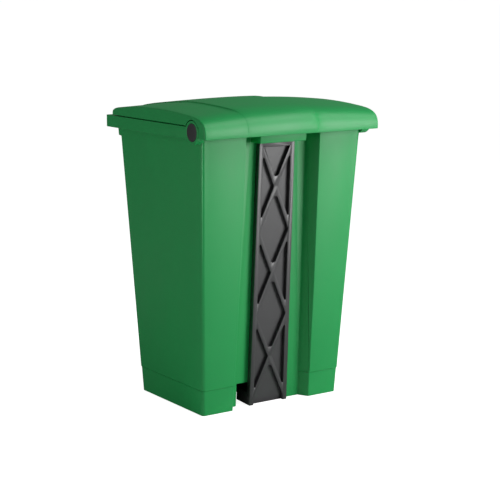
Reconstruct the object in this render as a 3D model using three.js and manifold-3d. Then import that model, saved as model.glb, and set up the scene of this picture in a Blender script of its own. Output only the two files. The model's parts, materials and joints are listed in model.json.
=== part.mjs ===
// Step-on container: a tapered bin with a hinged lid, lifted by a pedal through a
// sliding plate in its rear channel. Millimetres, +Z up, pedal at the front (-Y),
// origin on the floor under the middle of the object.
import * as THREE from 'three';
import { mergeVertices } from 'three/addons/utils/BufferGeometryUtils.js';
import Module from 'manifold-3d';

const wasm = await Module();
wasm.setup();

// Bin walls: the rim's outside, how far it overhangs the walls, and how much the
// walls taper from the rim down to the floor
const rimTop = 571;
const rimSide = 203.6;
const rimFront = 176;
const rearAtRim = 164.8;
const rimOverhangSide = 14.4;
const rimOverhangFront = 26.3;
const sideTaper = 25.4;
const frontTaper = 36.6;
const rearTaper = 41.4;
const sideAtRim = rimSide - rimOverhangSide;
const frontAtRim = rimFront - rimOverhangFront;
const sideAtFloor = sideAtRim - sideTaper;
const frontAtFloor = frontAtRim - frontTaper;
const rearAtFloor = rearAtRim - rearTaper;
const wall = 3;
const wallCorner = 8;
const floorUnderside = 52;
const baseInset = 1.3;
const skirtLift = 0.5;

// Rim band, its front lip and the step under the lip
const rimHeight = 23.5;
const rimCorner = 6;
const rimUnderside = rimTop - rimHeight;
const lipStepProud = 10;
const lipStepHeight = 17;

// Fits
const touchGap = 0.3;
const slideGap = 0.6;
const sideGap = 0.5;
const overrun = 20;

// Hinge: pin axis, the round ears that carry it, and the notches for the lid's lugs
const pinInset = 11.1;
const pinDrop = 9.5;
const pinY = rearAtRim - pinInset;
const pinZ = rimTop - pinDrop;
const pinRadius = 4;
const pinLength = 24.5;
const earRadius = 22.5;
const capRadius = 17;
const capThickness = 3;
const capPlugRadius = 9;
const capPlugDepth = 4;
const capDome = 0.6;
const lugWidth = 10;
const lugRadius = 12;
const lugSideGap = 0.7;
const lugNotchWidth = 16;
const lugNotchGap = 2.5;
const bushingOuterRadius = 6.5;
const bushingFlangeRadius = 8.5;
const bushingFlange = 1.5;
const wallInsideAtPin = mix(sideAtFloor, sideAtRim, pinZ / rimTop) - wall;
const pinOuterEnd = rimSide - capThickness - capPlugDepth - touchGap;

// Lifting cam on the lid
const liftRadius = 17.6;
const camDrop = 22;
const camHalf = 30;
const camFront = 2.4;
const camRear = 3;
const camRearRise = 6.5;
const lidOpenAngle = 60;
const camSamples = 6;

// Lift plate in the channel
const plateHalfAtFoot = 45.5;
const plateHalfAtHead = 41.75;
const plateThickness = 11;
const plateFoot = 1;
const pocketDepth = 9.5;
const plateBorder = 9.5;
const braceWidth = 7.4;
const crossPitch = 173;
const firstCross = 97.8;
const crossCount = 3;
const plateHeadBand = 17;
const shelfReach = 36;
const shelfThickness = 3;
const footSideWall = 3;
const keeperReach = 8.5;
const keeperThickness = 3;
const keeperHeight = 17;

// Rear channel and the guide bridge across its top
const channelMouthAtFloor = 92;
const channelMouthAtRim = 86.7;
const channelFlare = 12;
const channelDepthAtFloor = 23.3;
const channelDepthAtRim = 32.7;
const channelFaceAtFloor = rearAtFloor - channelDepthAtFloor;
const channelFaceAtRim = rearAtRim - channelDepthAtRim;
const channelDrop = 15;
const channelTop = rimTop - channelDrop;
const bridgeHeight = 23.5;
const bridgeBottom = channelTop - bridgeHeight;
const bridgeThickness = 4;
const bridgeWeb = 3;
const bridgeSideGap = 9;
const bridgeHalf = plateHalfAtFoot + bridgeSideGap;
const camNotchDepth = 22;
const camNotchSideGap = 10;
const footSlotSideGap = 3.5;
const footSlotRight = 70;
const footSlotTop = 47.5;

// Lid shell
const lidOverhangRear = 35.2;
const lidSetbackFront = 27;
const lidEdgeLift = 1.5;
const skirtDrop = 20.1;
const lidSide = rimSide;
const lidRear = rearAtRim + lidOverhangRear;
const lidFront = rimFront - lidSetbackFront;
const lidEdge = rimTop + lidEdgeLift;
const skirtEdge = rimTop - skirtDrop;
const lidWall = 3;
const crestY = 25;
const crestRise = 26.6;
const crestZ = rimTop + crestRise;
const crestRadius = 1335;
const crown = 12.6;
const crownAtRear = 9.4;
const crownAtFront = 1.4;
const shoulderReach = 50;
const shoulderDrop = 13;
const noseReach = 39;
const noseRise = 6.5;
const lidEdgeRound = 3;
const earGap = 1.5;
const panelRaise = 2.2;
const panelRaiseAtRear = 1.4;
const panelRaiseAtFront = 1.6;
const panelBevel = 4;
const panelLeftAtRear = 54;
const panelLeftAtFront = 10;
const panelRightAtRear = 106;
const panelRightAtFront = 140;
const shoulderShares = { along: 0.79, up: 0.6 };
const noseShares = { along: 0.6, up: 0.7 };
const panelShares = [0, 0.33, 0.67, 1];
const shoulderSamples = 8;
const topSamples = 8;
const noseSamples = 5;
const edgeRoundSamples = 3;
const lidRibX = 64;
const lidRibWidth = 2.4;
const lidRibLift = 7;
const lidRibFrontGap = 9;
const lidRibRearGap = 33.7;

// Pedal lever, its axle and what holds them
const axleY = -10.4;
const axleZ = 27;
const axleRadius = 4;
const noseSetback = 5.5;
const rearArm = channelFaceAtFloor - noseSetback - axleY;
const noseRadius = 5;
const leverHalf = 38;
const hubRadius = 11;
const armThickness = 8;
const armTopAtRear = 1;
const armTopAtFront = 2;
const pedalReach = 25.4;
const frontReach = rimFront + pedalReach;
const treadDepth = 56;
const treadHalf = 75;
const treadThickness = 8;
const treadCorner = 14;
const leverPocketWall = 5;
const leverPocketDepth = 5.5;
const padThickness = 3;
const padInset = 4;
const padGrooveCount = 6;
const padGrooveInset = 12;
const padGrooveWidth = 2.4;
const padGrooveDepth = 1.2;
const pedalNotchSideGap = 8;
const pedalNotchTop = 47.5;
const bearingGap = 6;
const bearingInner = leverHalf + bearingGap;
const bearingWidth = 16;
const axleEnd = 6;
const axleHalf = bearingInner + bearingWidth + axleEnd;
const bearingHalf = 20;
const bearingBottom = 15;
const retainerThickness = 4.6;
const retainerScrewOffset = 13;
const clipRadius = 7.5;
const clipThickness = 1.2;

// Screws, feet and bumpers
const screwRadius = 1.7;
const screwLength = 18;
const screwHeadRadius = 4;
const screwHeadHeight = 2.6;
const screwCrownRadius = 2.8;
const screwSlotReach = 2.4;
const screwSlotWidth = 1.1;
const screwSlotDepth = 1.4;
const footRadius = 15;
const footThickness = 3;
const footRound = 0.6;
const footInsetSide = 29.8;
const footInsetRear = 28.4;
const footInsetFront = 27.1;
const footX = sideAtFloor - footInsetSide;
const footRearY = rearAtFloor - footInsetRear;
const footFrontY = frontAtFloor - footInsetFront;
const ledgeThickness = 3;
const ledgeMargin = 5;
const ledgeWidth = footInsetSide + footRadius + ledgeMargin;
const ledgeDepth = Math.max(footInsetRear, footInsetFront) + footRadius;
const bumperInset = 9.2;
const bumperSetback = 64;
const bumperX = rimSide - bumperInset;
const bumperY = bumperSetback - rimFront;
const bumperRadius = 5;
const bumperStemRadius = 2;
const bumperStem = 6;
const bumperHeight = 4;
const bumperRound = 0.8;

const wallSamples = 6;
const roundSteps = 32;
const smallSteps = 20;

const green = { color: '#2e9e56', roughness: 0.45, metalness: 0 };
const black = { color: '#343436', roughness: 0.55, metalness: 0 };
const steel = { color: '#b4b7ba', roughness: 0.35, metalness: 1 };
const rubber = { color: '#1d1d1e', roughness: 0.85, metalness: 0 };
const nylon = { color: '#e4e0d4', roughness: 0.5, metalness: 0 };

const lean = Math.atan2(channelFaceAtRim - channelFaceAtFloor, rimTop);
const lidOpen = THREE.MathUtils.degToRad(lidOpenAngle);
const plateTravel = liftRadius * lidOpen;
const pedalHalfSwing = Math.asin(plateTravel / (2 * rearArm));

function mix(a, b, t) {
  return a + (b - a) * t;
}

// Solids from three.js geometry, and back

function toSolid(geometry) {
  const bare = geometry.clone();
  bare.deleteAttribute('normal');
  bare.deleteAttribute('uv');
  const merged = mergeVertices(bare);
  const triVerts = new Uint32Array(merged.index.array);
  const vertProperties = new Float32Array(merged.attributes.position.array);
  return new wasm.Manifold(new wasm.Mesh({ numProp: 3, vertProperties, triVerts }));
}

function toGeometry(solid) {
  const mesh = solid.getMesh();
  const geometry = new THREE.BufferGeometry();
  geometry.setAttribute('position', new THREE.BufferAttribute(mesh.vertProperties, 3));
  geometry.setIndex(new THREE.BufferAttribute(mesh.triVerts, 1));
  return geometry;
}

function join(...solids) {
  return solids.reduce((sum, solid) => sum.add(solid));
}

function cut(body, ...tools) {
  return tools.reduce((rest, tool) => rest.subtract(tool), body);
}

function block(x0, x1, y0, y1, z0, z1) {
  const geometry = new THREE.BoxGeometry(x1 - x0, y1 - y0, z1 - z0);
  geometry.translate((x0 + x1) / 2, (y0 + y1) / 2, (z0 + z1) / 2);
  return toSolid(geometry);
}

function discAlongX(radius, x0, x1, y, z, steps = roundSteps) {
  const geometry = new THREE.CylinderGeometry(radius, radius, Math.abs(x1 - x0), steps);
  geometry.rotateZ(Math.PI / 2);
  geometry.translate((x0 + x1) / 2, y, z);
  return toSolid(geometry);
}

function discAlongZ(radius, z0, z1, x, y, steps = smallSteps) {
  const geometry = new THREE.CylinderGeometry(radius, radius, z1 - z0, steps);
  geometry.rotateX(Math.PI / 2);
  geometry.translate(x, y, (z0 + z1) / 2);
  return toSolid(geometry);
}

// A closed outline of (y, z) points, carried along X from x0 to x1
function prismAlongX(points, x0, x1) {
  const shape = new THREE.Shape(points.map(([y, z]) => new THREE.Vector2(y, z)));
  const geometry = new THREE.ExtrudeGeometry(shape, { depth: x1 - x0, bevelEnabled: false });
  const turn = new THREE.Matrix4().makeBasis(
    new THREE.Vector3(0, 1, 0),
    new THREE.Vector3(0, 0, 1),
    new THREE.Vector3(1, 0, 0),
  );
  geometry.applyMatrix4(turn);
  geometry.translate(x0, 0, 0);
  return toSolid(geometry);
}

// A closed solid through rings of equal point count, its two ends filled flat.
// The flatten function gives the two coordinates that the end faces are filled in.
function loft(rings, flatten) {
  const count = rings[0].length;
  const points = rings.flat();
  const faces = [];
  for (let r = 0; r < rings.length - 1; r += 1) {
    for (let i = 0; i < count; i += 1) {
      const a = r * count + i;
      const b = r * count + ((i + 1) % count);
      faces.push([a, b, b + count], [a, b + count, a + count]);
    }
  }
  const last = (rings.length - 1) * count;
  const capFaces = (ring) => THREE.ShapeUtils.triangulateShape(ring.map(flatten), []);
  const forwards = ringTurnsForward(rings[0].map(flatten));
  for (const [a, b, c] of capFaces(rings[0])) {
    faces.push(forwards === trianglePositive(rings[0], flatten, a, b, c) ? [c, b, a] : [a, b, c]);
  }
  for (const [a, b, c] of capFaces(rings.at(-1))) {
    const same = forwards === trianglePositive(rings.at(-1), flatten, a, b, c);
    faces.push(same ? [last + a, last + b, last + c] : [last + c, last + b, last + a]);
  }
  return toSolid(facedOutwards(points, faces));
}

function ringTurnsForward(flatRing) {
  return THREE.ShapeUtils.area(flatRing) > 0;
}

function trianglePositive(ring, flatten, a, b, c) {
  return THREE.ShapeUtils.area([flatten(ring[a]), flatten(ring[b]), flatten(ring[c])]) > 0;
}

function facedOutwards(points, faces) {
  const cross = new THREE.Vector3();
  const sixVolumes = faces.map(([a, b, c]) => points[a].dot(cross.crossVectors(points[b], points[c])));
  const inside = sixVolumes.reduce((sum, v) => sum + v, 0) < 0;
  const geometry = new THREE.BufferGeometry();
  const flat = points.flatMap((p) => p.toArray());
  geometry.setAttribute('position', new THREE.Float32BufferAttribute(flat, 3));
  geometry.setIndex(faces.flatMap(([a, b, c]) => (inside ? [c, b, a] : [a, b, c])));
  return geometry;
}

const seenFromAbove = (p) => new THREE.Vector2(p.x, p.y);
const seenFromSide = (p) => new THREE.Vector2(p.y, p.z);

// Bin walls

function wallAt(z) {
  const t = z / rimTop;
  return {
    side: mix(sideAtFloor, sideAtRim, t),
    rear: mix(rearAtFloor, rearAtRim, t),
    front: -mix(frontAtFloor, frontAtRim, t),
  };
}

function roundedRing(x0, x1, y0, y1, z, radius) {
  const corners = [
    [x1 - radius, y1 - radius, 0],
    [x0 + radius, y1 - radius, 1],
    [x0 + radius, y0 + radius, 2],
    [x1 - radius, y0 + radius, 3],
  ];
  return corners.flatMap(([cx, cy, quarter]) => {
    const ring = [];
    for (let i = 0; i <= wallSamples; i += 1) {
      const angle = ((quarter + i / wallSamples) * Math.PI) / 2;
      ring.push(new THREE.Vector3(cx + radius * Math.cos(angle), cy + radius * Math.sin(angle), z));
    }
    return ring;
  });
}

function wallBlock(z0, z1, grow, frontGrow = grow) {
  const rings = [z0, z1].map((z) => {
    const face = wallAt(z);
    const side = face.side + grow;
    return roundedRing(-side, side, face.front - frontGrow, face.rear + grow, z, wallCorner + grow);
  });
  return loft(rings, seenFromAbove);
}

function channelAt(z) {
  const t = z / rimTop;
  const mouth = mix(channelMouthAtFloor, channelMouthAtRim, t);
  return {
    mouth,
    flat: mouth - channelFlare,
    face: mix(channelFaceAtFloor, channelFaceAtRim, t),
    rear: wallAt(z).rear,
  };
}

// The channel's hollow, its flat face moved inwards by faceGrow and its slanted
// sides moved apart by sideGrow
function channelBlock(z0, z1, faceGrow, sideGrow) {
  const rings = [z0, z1].map((z) => {
    const { mouth, flat, face, rear } = channelAt(z);
    const slope = (mouth - flat) / (rear - face);
    const spread = sideGrow * Math.sqrt(1 + slope * slope);
    const near = flat + spread - faceGrow * slope;
    const far = mouth + spread + overrun * slope;
    return [
      [-near, face - faceGrow],
      [near, face - faceGrow],
      [far, rear + overrun],
      [-far, rear + overrun],
    ].map(([x, y]) => new THREE.Vector3(x, y, z));
  });
  return loft(rings, seenFromAbove);
}

function rimPlan(inset, z0, z1) {
  const side = rimSide - inset;
  const front = -rimFront + inset;
  const radius = rimCorner - inset;
  const shape = new THREE.Shape();
  shape.moveTo(side, pinY);
  shape.lineTo(side, front + radius);
  shape.absarc(side - radius, front + radius, radius, 0, -Math.PI / 2, true);
  shape.lineTo(-side + radius, front);
  shape.absarc(-side + radius, front + radius, radius, -Math.PI / 2, -Math.PI, true);
  shape.lineTo(-side, pinY);
  shape.closePath();
  const geometry = new THREE.ExtrudeGeometry(shape, {
    depth: z1 - z0,
    bevelEnabled: false,
    curveSegments: wallSamples,
  });
  geometry.translate(0, 0, z0);
  return toSolid(geometry);
}

function rimBand() {
  return cut(rimPlan(0, rimUnderside, rimTop), rimPlan(wall, rimUnderside - overrun, rimTop - wall));
}

// The stepped-in base: the bin's floor and the open skirt under it
function base() {
  const solid = wallBlock(skirtLift, floorUnderside + wall, -baseInset);
  const hollow = wallBlock(-overrun, floorUnderside, -baseInset - wall);
  const channelWall = channelBlock(-overrun, floorUnderside, wall, wall + baseInset);
  const footSlot = block(
    -plateHalfAtFoot - footSlotSideGap, footSlotRight,
    channelFaceAtFloor - overrun, rearAtFloor, -overrun, footSlotTop,
  );
  const notchHalf = leverHalf + pedalNotchSideGap;
  const pedalNotch = block(
    -notchHalf, notchHalf, -frontAtFloor - overrun, -frontAtFloor + overrun, -overrun, pedalNotchTop,
  );
  return cut(
    solid,
    cut(hollow, channelWall),
    channelBlock(-overrun, floorUnderside, 0, baseInset),
    channelBlock(floorUnderside, rimTop, 0, 0),
    footSlot,
    pedalNotch,
  );
}

function bridge() {
  const strip = (x0, x1, yFrom) => {
    const rings = [bridgeBottom, channelTop].map((z) => {
      const { face, rear } = channelAt(z);
      const near = yFrom === 'face' ? face - wall : rear - bridgeThickness;
      return [[x0, near], [x1, near], [x1, rear], [x0, rear]].map(([x, y]) => new THREE.Vector3(x, y, z));
    });
    return loft(rings, seenFromAbove);
  };
  return join(
    strip(-bridgeHalf, bridgeHalf, 'rear'),
    strip(-bridgeHalf, -bridgeHalf + bridgeWeb, 'face'),
    strip(bridgeHalf - bridgeWeb, bridgeHalf, 'face'),
  );
}

function bearings() {
  const solids = [-1, 1].map((side) => {
    const x0 = side * bearingInner;
    const x1 = side * (bearingInner + bearingWidth);
    const [low, high] = [Math.min(x0, x1), Math.max(x0, x1)];
    const slotHalf = axleRadius + touchGap;
    const body = block(
      low, high, axleY - bearingHalf, axleY + bearingHalf, bearingBottom, floorUnderside + wall / 2,
    );
    const slot = join(
      block(low - overrun, high + overrun, axleY - slotHalf, axleY + slotHalf, -overrun, axleZ),
      discAlongX(slotHalf, low - overrun, high + overrun, axleY, axleZ, smallSteps),
    );
    const holes = retainerScrewPlaces(side).map(([x, y]) => discAlongZ(
      screwRadius + touchGap, -overrun, bearingBottom - retainerThickness + screwLength + touchGap, x, y,
    ));
    return cut(body, slot, ...holes);
  });
  return join(...solids);
}

function retainerScrewPlaces(side) {
  const x = side * (bearingInner + bearingWidth / 2);
  return [[x, axleY - retainerScrewOffset], [x, axleY + retainerScrewOffset]];
}

function footPlaces() {
  return [[-footX, -footFrontY], [footX, -footFrontY], [-footX, footRearY], [footX, footRearY]];
}

function footLedges() {
  const z0 = footThickness + touchGap;
  const inside = wallBlock(z0, z0 + ledgeThickness, -baseInset - wall / 2);
  const channel = channelBlock(-overrun, floorUnderside, wall / 2, wall / 2 + baseInset);
  const patches = footPlaces().map(([x, y]) => {
    const side = Math.sign(x);
    const end = Math.sign(y);
    const face = end > 0 ? rearAtFloor : frontAtFloor;
    const xs = [side * (sideAtFloor - ledgeWidth), side * (sideAtFloor + overrun)].sort((a, b) => a - b);
    const ys = [end * (face - ledgeDepth), end * (face + overrun)].sort((a, b) => a - b);
    return block(xs[0], xs[1], ys[0], ys[1], 0, floorUnderside);
  });
  return cut(inside.intersect(join(...patches)), channel);
}

function hingeEars() {
  const solids = [-1, 1].map((side) => discAlongX(
    earRadius, side * wallInsideAtPin, side * rimSide, pinY, pinZ,
  ));
  return join(...solids);
}

function earBores() {
  const solids = [-1, 1].flatMap((side) => {
    const face = side * (rimSide + overrun);
    const capSeat = side * (rimSide - capThickness - touchGap);
    const plugSeat = side * (rimSide - capThickness - capPlugDepth - 2 * touchGap);
    return [
      discAlongX(capRadius + touchGap, capSeat, face, pinY, pinZ),
      discAlongX(capPlugRadius + touchGap, plugSeat, face, pinY, pinZ),
      discAlongX(pinRadius + touchGap, side * (wallInsideAtPin - overrun), face, pinY, pinZ, smallSteps),
    ];
  });
  return join(...solids);
}

// Notches in the upper edge of the rear wall: one for each lug, one across the
// channel, and a deeper one behind the bridge for the cam
function rearNotches() {
  const lugNotches = [-1, 1].map((side) => {
    const xs = [side * (wallInsideAtPin - lugNotchWidth), side * wallInsideAtPin].sort((a, b) => a - b);
    const bottom = pinZ - lugRadius - lugNotchGap;
    return block(xs[0], xs[1], pinY - earRadius, pinY + overrun, bottom, rimTop + overrun);
  });
  const { mouth, face, rear } = channelAt(channelTop);
  const channelHalf = mouth + wall;
  const camNotchHalf = camHalf + camNotchSideGap;
  return [
    ...lugNotches,
    block(-channelHalf, channelHalf, face - overrun, rear + overrun, channelTop, rimTop + overrun),
    block(
      -camNotchHalf, camNotchHalf, face - overrun, rear, channelTop - camNotchDepth, channelTop + overrun,
    ),
  ];
}

function container() {
  const lipStep = wallBlock(rimUnderside - lipStepHeight, rimTop, 0, lipStepProud)
    .intersect(block(-rimSide, rimSide, -rimFront, 0, 0, rimTop));
  const walls = join(wallBlock(floorUnderside, rimTop, 0), lipStep, rimBand(), hingeEars());
  const inside = wallBlock(floorUnderside + wall, rimTop + overrun, -wall);
  const bin = cut(inside, channelBlock(0, rimTop + overrun, wall, wall));
  const channel = channelBlock(0, rimTop + overrun, 0, 0);
  const shell = cut(walls, bin, channel, ...rearNotches());
  return cut(join(shell, base(), bridge(), bearings(), footLedges()), earBores());
}

// Lid: an outline of (y, z) from the rear skirt over the top to the front edge,
// each point with its outward direction and its part in the crown and the raised panel

function topAt(y) {
  const dy = y - crestY;
  return crestZ - crestRadius + Math.sqrt(crestRadius * crestRadius - dy * dy);
}

function topSlope(y) {
  return -(y - crestY) / crestRadius;
}

// The crown across the lid is highest at the crest and falls to the rear and to the front
function crownAt(y) {
  const rearTopY = lidRear - shoulderReach;
  const towardsRear = Math.min((y - crestY) / (rearTopY - crestY), 1);
  const towardsFront = (crestY - y) / (crestY + lidFront);
  return y > crestY ? mix(crown, crownAtRear, towardsRear) : mix(crown, crownAtFront, towardsFront);
}

function bezier(samples, a, b, c, d) {
  const curve = new THREE.CubicBezierCurve(...[a, b, c, d].map(([y, z]) => new THREE.Vector2(y, z)));
  return curve.getPoints(samples);
}

function lidOutline() {
  const rearTopY = lidRear - shoulderReach;
  const frontTopY = -lidFront + noseReach;
  const shoulderFoot = rimTop - shoulderDrop;
  const noseFoot = rimTop + noseRise;
  const alongRear = shoulderReach * shoulderShares.along;
  const alongFront = noseReach * noseShares.along;
  const shoulder = bezier(
    shoulderSamples,
    [lidRear, shoulderFoot],
    [lidRear, mix(shoulderFoot, topAt(rearTopY), shoulderShares.up)],
    [rearTopY + alongRear, topAt(rearTopY) + alongRear * topSlope(rearTopY)],
    [rearTopY, topAt(rearTopY)],
  );
  const top = [];
  for (let i = 1; i < topSamples; i += 1) {
    const y = mix(rearTopY, frontTopY, i / topSamples);
    top.push(new THREE.Vector2(y, topAt(y)));
  }
  const nose = bezier(
    noseSamples,
    [frontTopY, topAt(frontTopY)],
    [frontTopY - alongFront, topAt(frontTopY) - alongFront * topSlope(frontTopY)],
    [-lidFront, mix(noseFoot, topAt(frontTopY), noseShares.up)],
    [-lidFront, noseFoot],
  );
  const skirt = new THREE.Vector2(lidRear, skirtEdge);
  const edge = new THREE.Vector2(-lidFront, lidEdge);
  return [skirt, ...shoulder, ...top, ...nose, edge];
}

function outlineWithDirections() {
  const line = lidOutline();
  const flatTop = topAt(lidRear - shoulderReach);
  return line.map((point, i) => {
    const before = line[Math.max(i - 1, 0)];
    const after = line[Math.min(i + 1, line.length - 1)];
    const along = after.clone().sub(before).normalize();
    const ended = i === 0 || i === line.length - 1;
    const outward = ended
      ? new THREE.Vector2(Math.sign(point.x), 0)
      : new THREE.Vector2(along.y, -along.x);
    const foot = rimTop + (point.x > 0 ? -shoulderDrop : noseRise);
    const onTop = THREE.MathUtils.clamp((point.y - foot) / (flatTop - foot), 0, 1);
    const edgeRaise = point.x > 0 ? panelRaiseAtRear : panelRaiseAtFront;
    return { point, outward, onTop, raise: mix(edgeRaise, panelRaise, onTop) };
  });
}

// Stations across the lid: where each lies at the rear and at the front, how much of
// the panel's rise it has, and how far the edge's rounding draws it in
function lidStations(edgeX, rounded) {
  const at = (rear, front, rise) => ({ x: [rear, front], rise, inset: 0 });
  const onPanel = (share) => at(
    mix(-panelLeftAtRear, panelRightAtRear, share),
    mix(-panelLeftAtFront, panelRightAtFront, share),
    1,
  );
  const leftFoot = at(-panelLeftAtRear - panelBevel, -panelLeftAtFront - panelBevel, 0);
  const rightFoot = at(panelRightAtRear + panelBevel, panelRightAtFront + panelBevel, 0);
  const halfwayTo = (foot, x) => at((x + foot.x[0]) / 2, (x + foot.x[1]) / 2, 0);
  const edge = (side) => {
    if (!rounded) return [at(side * edgeX, side * edgeX, 0)];
    const list = [];
    for (let i = 0; i <= edgeRoundSamples; i += 1) {
      const angle = (i / edgeRoundSamples) * (Math.PI / 2);
      const x = side * (edgeX - lidEdgeRound * (1 - Math.cos(angle)));
      list.push({ ...at(x, x, 0), inset: lidEdgeRound * (1 - Math.sin(angle)) });
    }
    return list;
  };
  return [
    ...edge(-1),
    halfwayTo(leftFoot, -edgeX),
    leftFoot,
    ...panelShares.map(onPanel),
    rightFoot,
    halfwayTo(rightFoot, edgeX),
    ...edge(1).reverse(),
  ];
}

function lidRing(outline, station, inset, closing) {
  const ring = outline.map(({ point, outward, onTop, raise }) => {
    const t = (lidRear - point.x) / (lidRear + lidFront);
    const x = mix(station.x[0], station.x[1], t);
    const lift = crownAt(point.x) * onTop * (1 - (x / lidSide) ** 2);
    const out = raise * station.rise - inset - station.inset;
    return new THREE.Vector3(x, point.x + outward.x * out, point.y + outward.y * out + lift);
  });
  const last = ring.at(-1);
  const first = ring[0];
  return [...ring, ...closing(first, last)];
}

function lidOuter() {
  const outline = outlineWithDirections();
  const notchRear = pinY + earRadius + earGap;
  const closing = (first, last) => [
    new THREE.Vector3(last.x, notchRear, lidEdge),
    new THREE.Vector3(first.x, notchRear, skirtEdge),
  ];
  const stations = lidStations(lidSide, true);
  return loft(stations.map((s) => lidRing(outline, s, 0, closing)), seenFromSide);
}

function lidInner() {
  const outline = outlineWithDirections();
  const closing = (first, last) => [
    new THREE.Vector3(last.x, last.y, skirtEdge - overrun),
    new THREE.Vector3(first.x, first.y, skirtEdge - overrun),
  ];
  const stations = lidStations(lidSide - lidWall, false);
  return loft(stations.map((s) => lidRing(outline, s, lidWall, closing)), seenFromSide);
}

// The room under the lid's skin, in which the lugs, cam, ribs and bosses hang
function lidUnderSkin() {
  const outline = outlineWithDirections();
  const low = pinZ - camDrop - overrun;
  const closing = (first, last) => [
    new THREE.Vector3(last.x, last.y, low),
    new THREE.Vector3(first.x, first.y, low),
  ];
  const stations = lidStations(lidSide, true);
  return loft(stations.map((s) => lidRing(outline, s, 0, closing)), seenFromSide);
}

// The cam's working edge, measured from the pin: forward of it and below it. It is
// an involute, so the plate's flat head rises in step with the lid's angle.
function camEdge() {
  const edge = [];
  for (let i = 0; i <= camSamples; i += 1) {
    const angle = (lidOpen * i) / camSamples;
    const rest = camDrop - liftRadius * angle;
    edge.push([
      liftRadius * Math.cos(angle) - rest * Math.sin(angle),
      -liftRadius * Math.sin(angle) - rest * Math.cos(angle),
    ]);
  }
  return edge;
}

function liftCam() {
  const edge = camEdge();
  const end = edge.at(-1);
  const reach = crestZ + crown - pinZ;
  const outline = [
    [liftRadius + camFront, reach],
    [liftRadius + camFront, -camDrop + camFront],
    ...edge,
    [end[0] - camRear, end[1] + camRearRise],
    [end[0] - camRear, reach],
  ];
  const placed = outline.map(([forward, up]) => {
    const y = pinY - forward * Math.cos(lean) + up * Math.sin(lean);
    const z = pinZ + forward * Math.sin(lean) + up * Math.cos(lean);
    return [y, z];
  });
  return prismAlongX(placed, -camHalf, camHalf);
}

function lugSpan(side) {
  const outer = side * (wallInsideAtPin - lugSideGap);
  const inner = side * (wallInsideAtPin - lugSideGap - lugWidth);
  return [Math.min(inner, outer), Math.max(inner, outer)];
}

function hingeLugs() {
  const solids = [-1, 1].map((side) => {
    const [x0, x1] = lugSpan(side);
    return join(
      discAlongX(lugRadius, x0, x1, pinY, pinZ),
      block(x0, x1, pinY - lugRadius, pinY + lugRadius, pinZ, crestZ),
    );
  });
  return join(...solids);
}

function bumperSpots() {
  return [-1, 1].map((side) => [side * bumperX, bumperY]);
}

function bumperBosses() {
  const seat = rimTop + touchGap + bumperHeight + touchGap;
  return join(...bumperSpots().map(([x, y]) => discAlongZ(bumperRadius, seat, crestZ, x, y)));
}

function lid() {
  const outer = lidOuter();
  const ribs = [-1, 1].map((side) => block(
    side * lidRibX - lidRibWidth / 2, side * lidRibX + lidRibWidth / 2,
    lidRibFrontGap - lidFront, pinY - lidRibRearGap, rimTop + lidRibLift, crestZ,
  ));
  const inside = join(hingeLugs(), liftCam(), bumperBosses(), ...ribs).intersect(lidUnderSkin());
  const notches = [-1, 1].map((side) => discAlongX(
    earRadius + earGap, side * (lidSide - lidWall - sideGap), side * (lidSide + overrun), pinY, pinZ,
  ));
  const bores = [-1, 1].map((side) => {
    const [x0, x1] = lugSpan(side);
    return discAlongX(bushingOuterRadius + touchGap, x0 - overrun, x1 + sideGap, pinY, pinZ, smallSteps);
  });
  const stemEnd = rimTop + touchGap + bumperHeight + bumperStem + touchGap;
  const stems = bumperSpots().map(([x, y]) => discAlongZ(bumperStemRadius + touchGap, rimTop, stemEnd, x, y));
  return cut(join(cut(outer, lidInner()), inside), ...notches, ...bores, ...stems);
}

// Hinge hardware

function hingePin(side) {
  return discAlongX(pinRadius, side * (pinOuterEnd - pinLength), side * pinOuterEnd, pinY, pinZ, smallSteps);
}

function hingeBushing(side) {
  const [x0, x1] = lugSpan(side);
  const innerFace = side > 0 ? x0 : x1;
  const outerFace = side > 0 ? x1 : x0;
  const flangeFace = innerFace - side * touchGap;
  const flangeEnd = flangeFace - side * bushingFlange;
  const turned = (radius, from, to) => discAlongX(radius, from, to, pinY, pinZ, smallSteps);
  return cut(
    join(
      turned(bushingOuterRadius, (flangeFace + flangeEnd) / 2, outerFace),
      turned(bushingFlangeRadius, flangeEnd, flangeFace),
    ),
    turned(pinRadius + touchGap, flangeEnd - side * overrun, outerFace + side * overrun),
  );
}

function hingeCap(side) {
  const profile = [
    [0, -capThickness - capPlugDepth],
    [capPlugRadius, -capThickness - capPlugDepth],
    [capPlugRadius, -capThickness],
    [capRadius, -capThickness],
    [capRadius, -capDome],
    [capRadius - capDome, 0],
    [0, 0],
  ].map(([r, h]) => new THREE.Vector2(r, h));
  const geometry = new THREE.LatheGeometry(profile, roundSteps);
  geometry.rotateZ(-Math.PI / 2);
  if (side < 0) geometry.rotateZ(Math.PI);
  geometry.translate(side * rimSide, pinY, pinZ);
  return toSolid(geometry);
}

// Lift plate, in its own frame: y out from the channel's face, z along the lean

function inPlateFrame(y, z) {
  const dy = y - channelFaceAtFloor;
  return {
    y: dy * Math.cos(lean) - z * Math.sin(lean),
    z: dy * Math.sin(lean) + z * Math.cos(lean),
  };
}

function noseInPlateFrame() {
  const y = axleY + rearArm * Math.cos(pedalHalfSwing);
  const z = axleZ - rearArm * Math.sin(pedalHalfSwing);
  return inPlateFrame(y, z);
}

const plateHead = inPlateFrame(pinY, pinZ).z - camDrop - touchGap;

function plateHalfAt(z) {
  return mix(plateHalfAtFoot, plateHalfAtHead, (z - plateFoot) / (plateHead - plateFoot));
}

function plateBlock(z0, z1, inset, y0, y1) {
  const rings = [z0, z1].map((z) => {
    const half = plateHalfAt(z) - inset;
    return [[-half, y0], [half, y0], [half, y1], [-half, y1]].map(([x, y]) => new THREE.Vector3(x, y, z));
  });
  return loft(rings, seenFromAbove);
}

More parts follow.
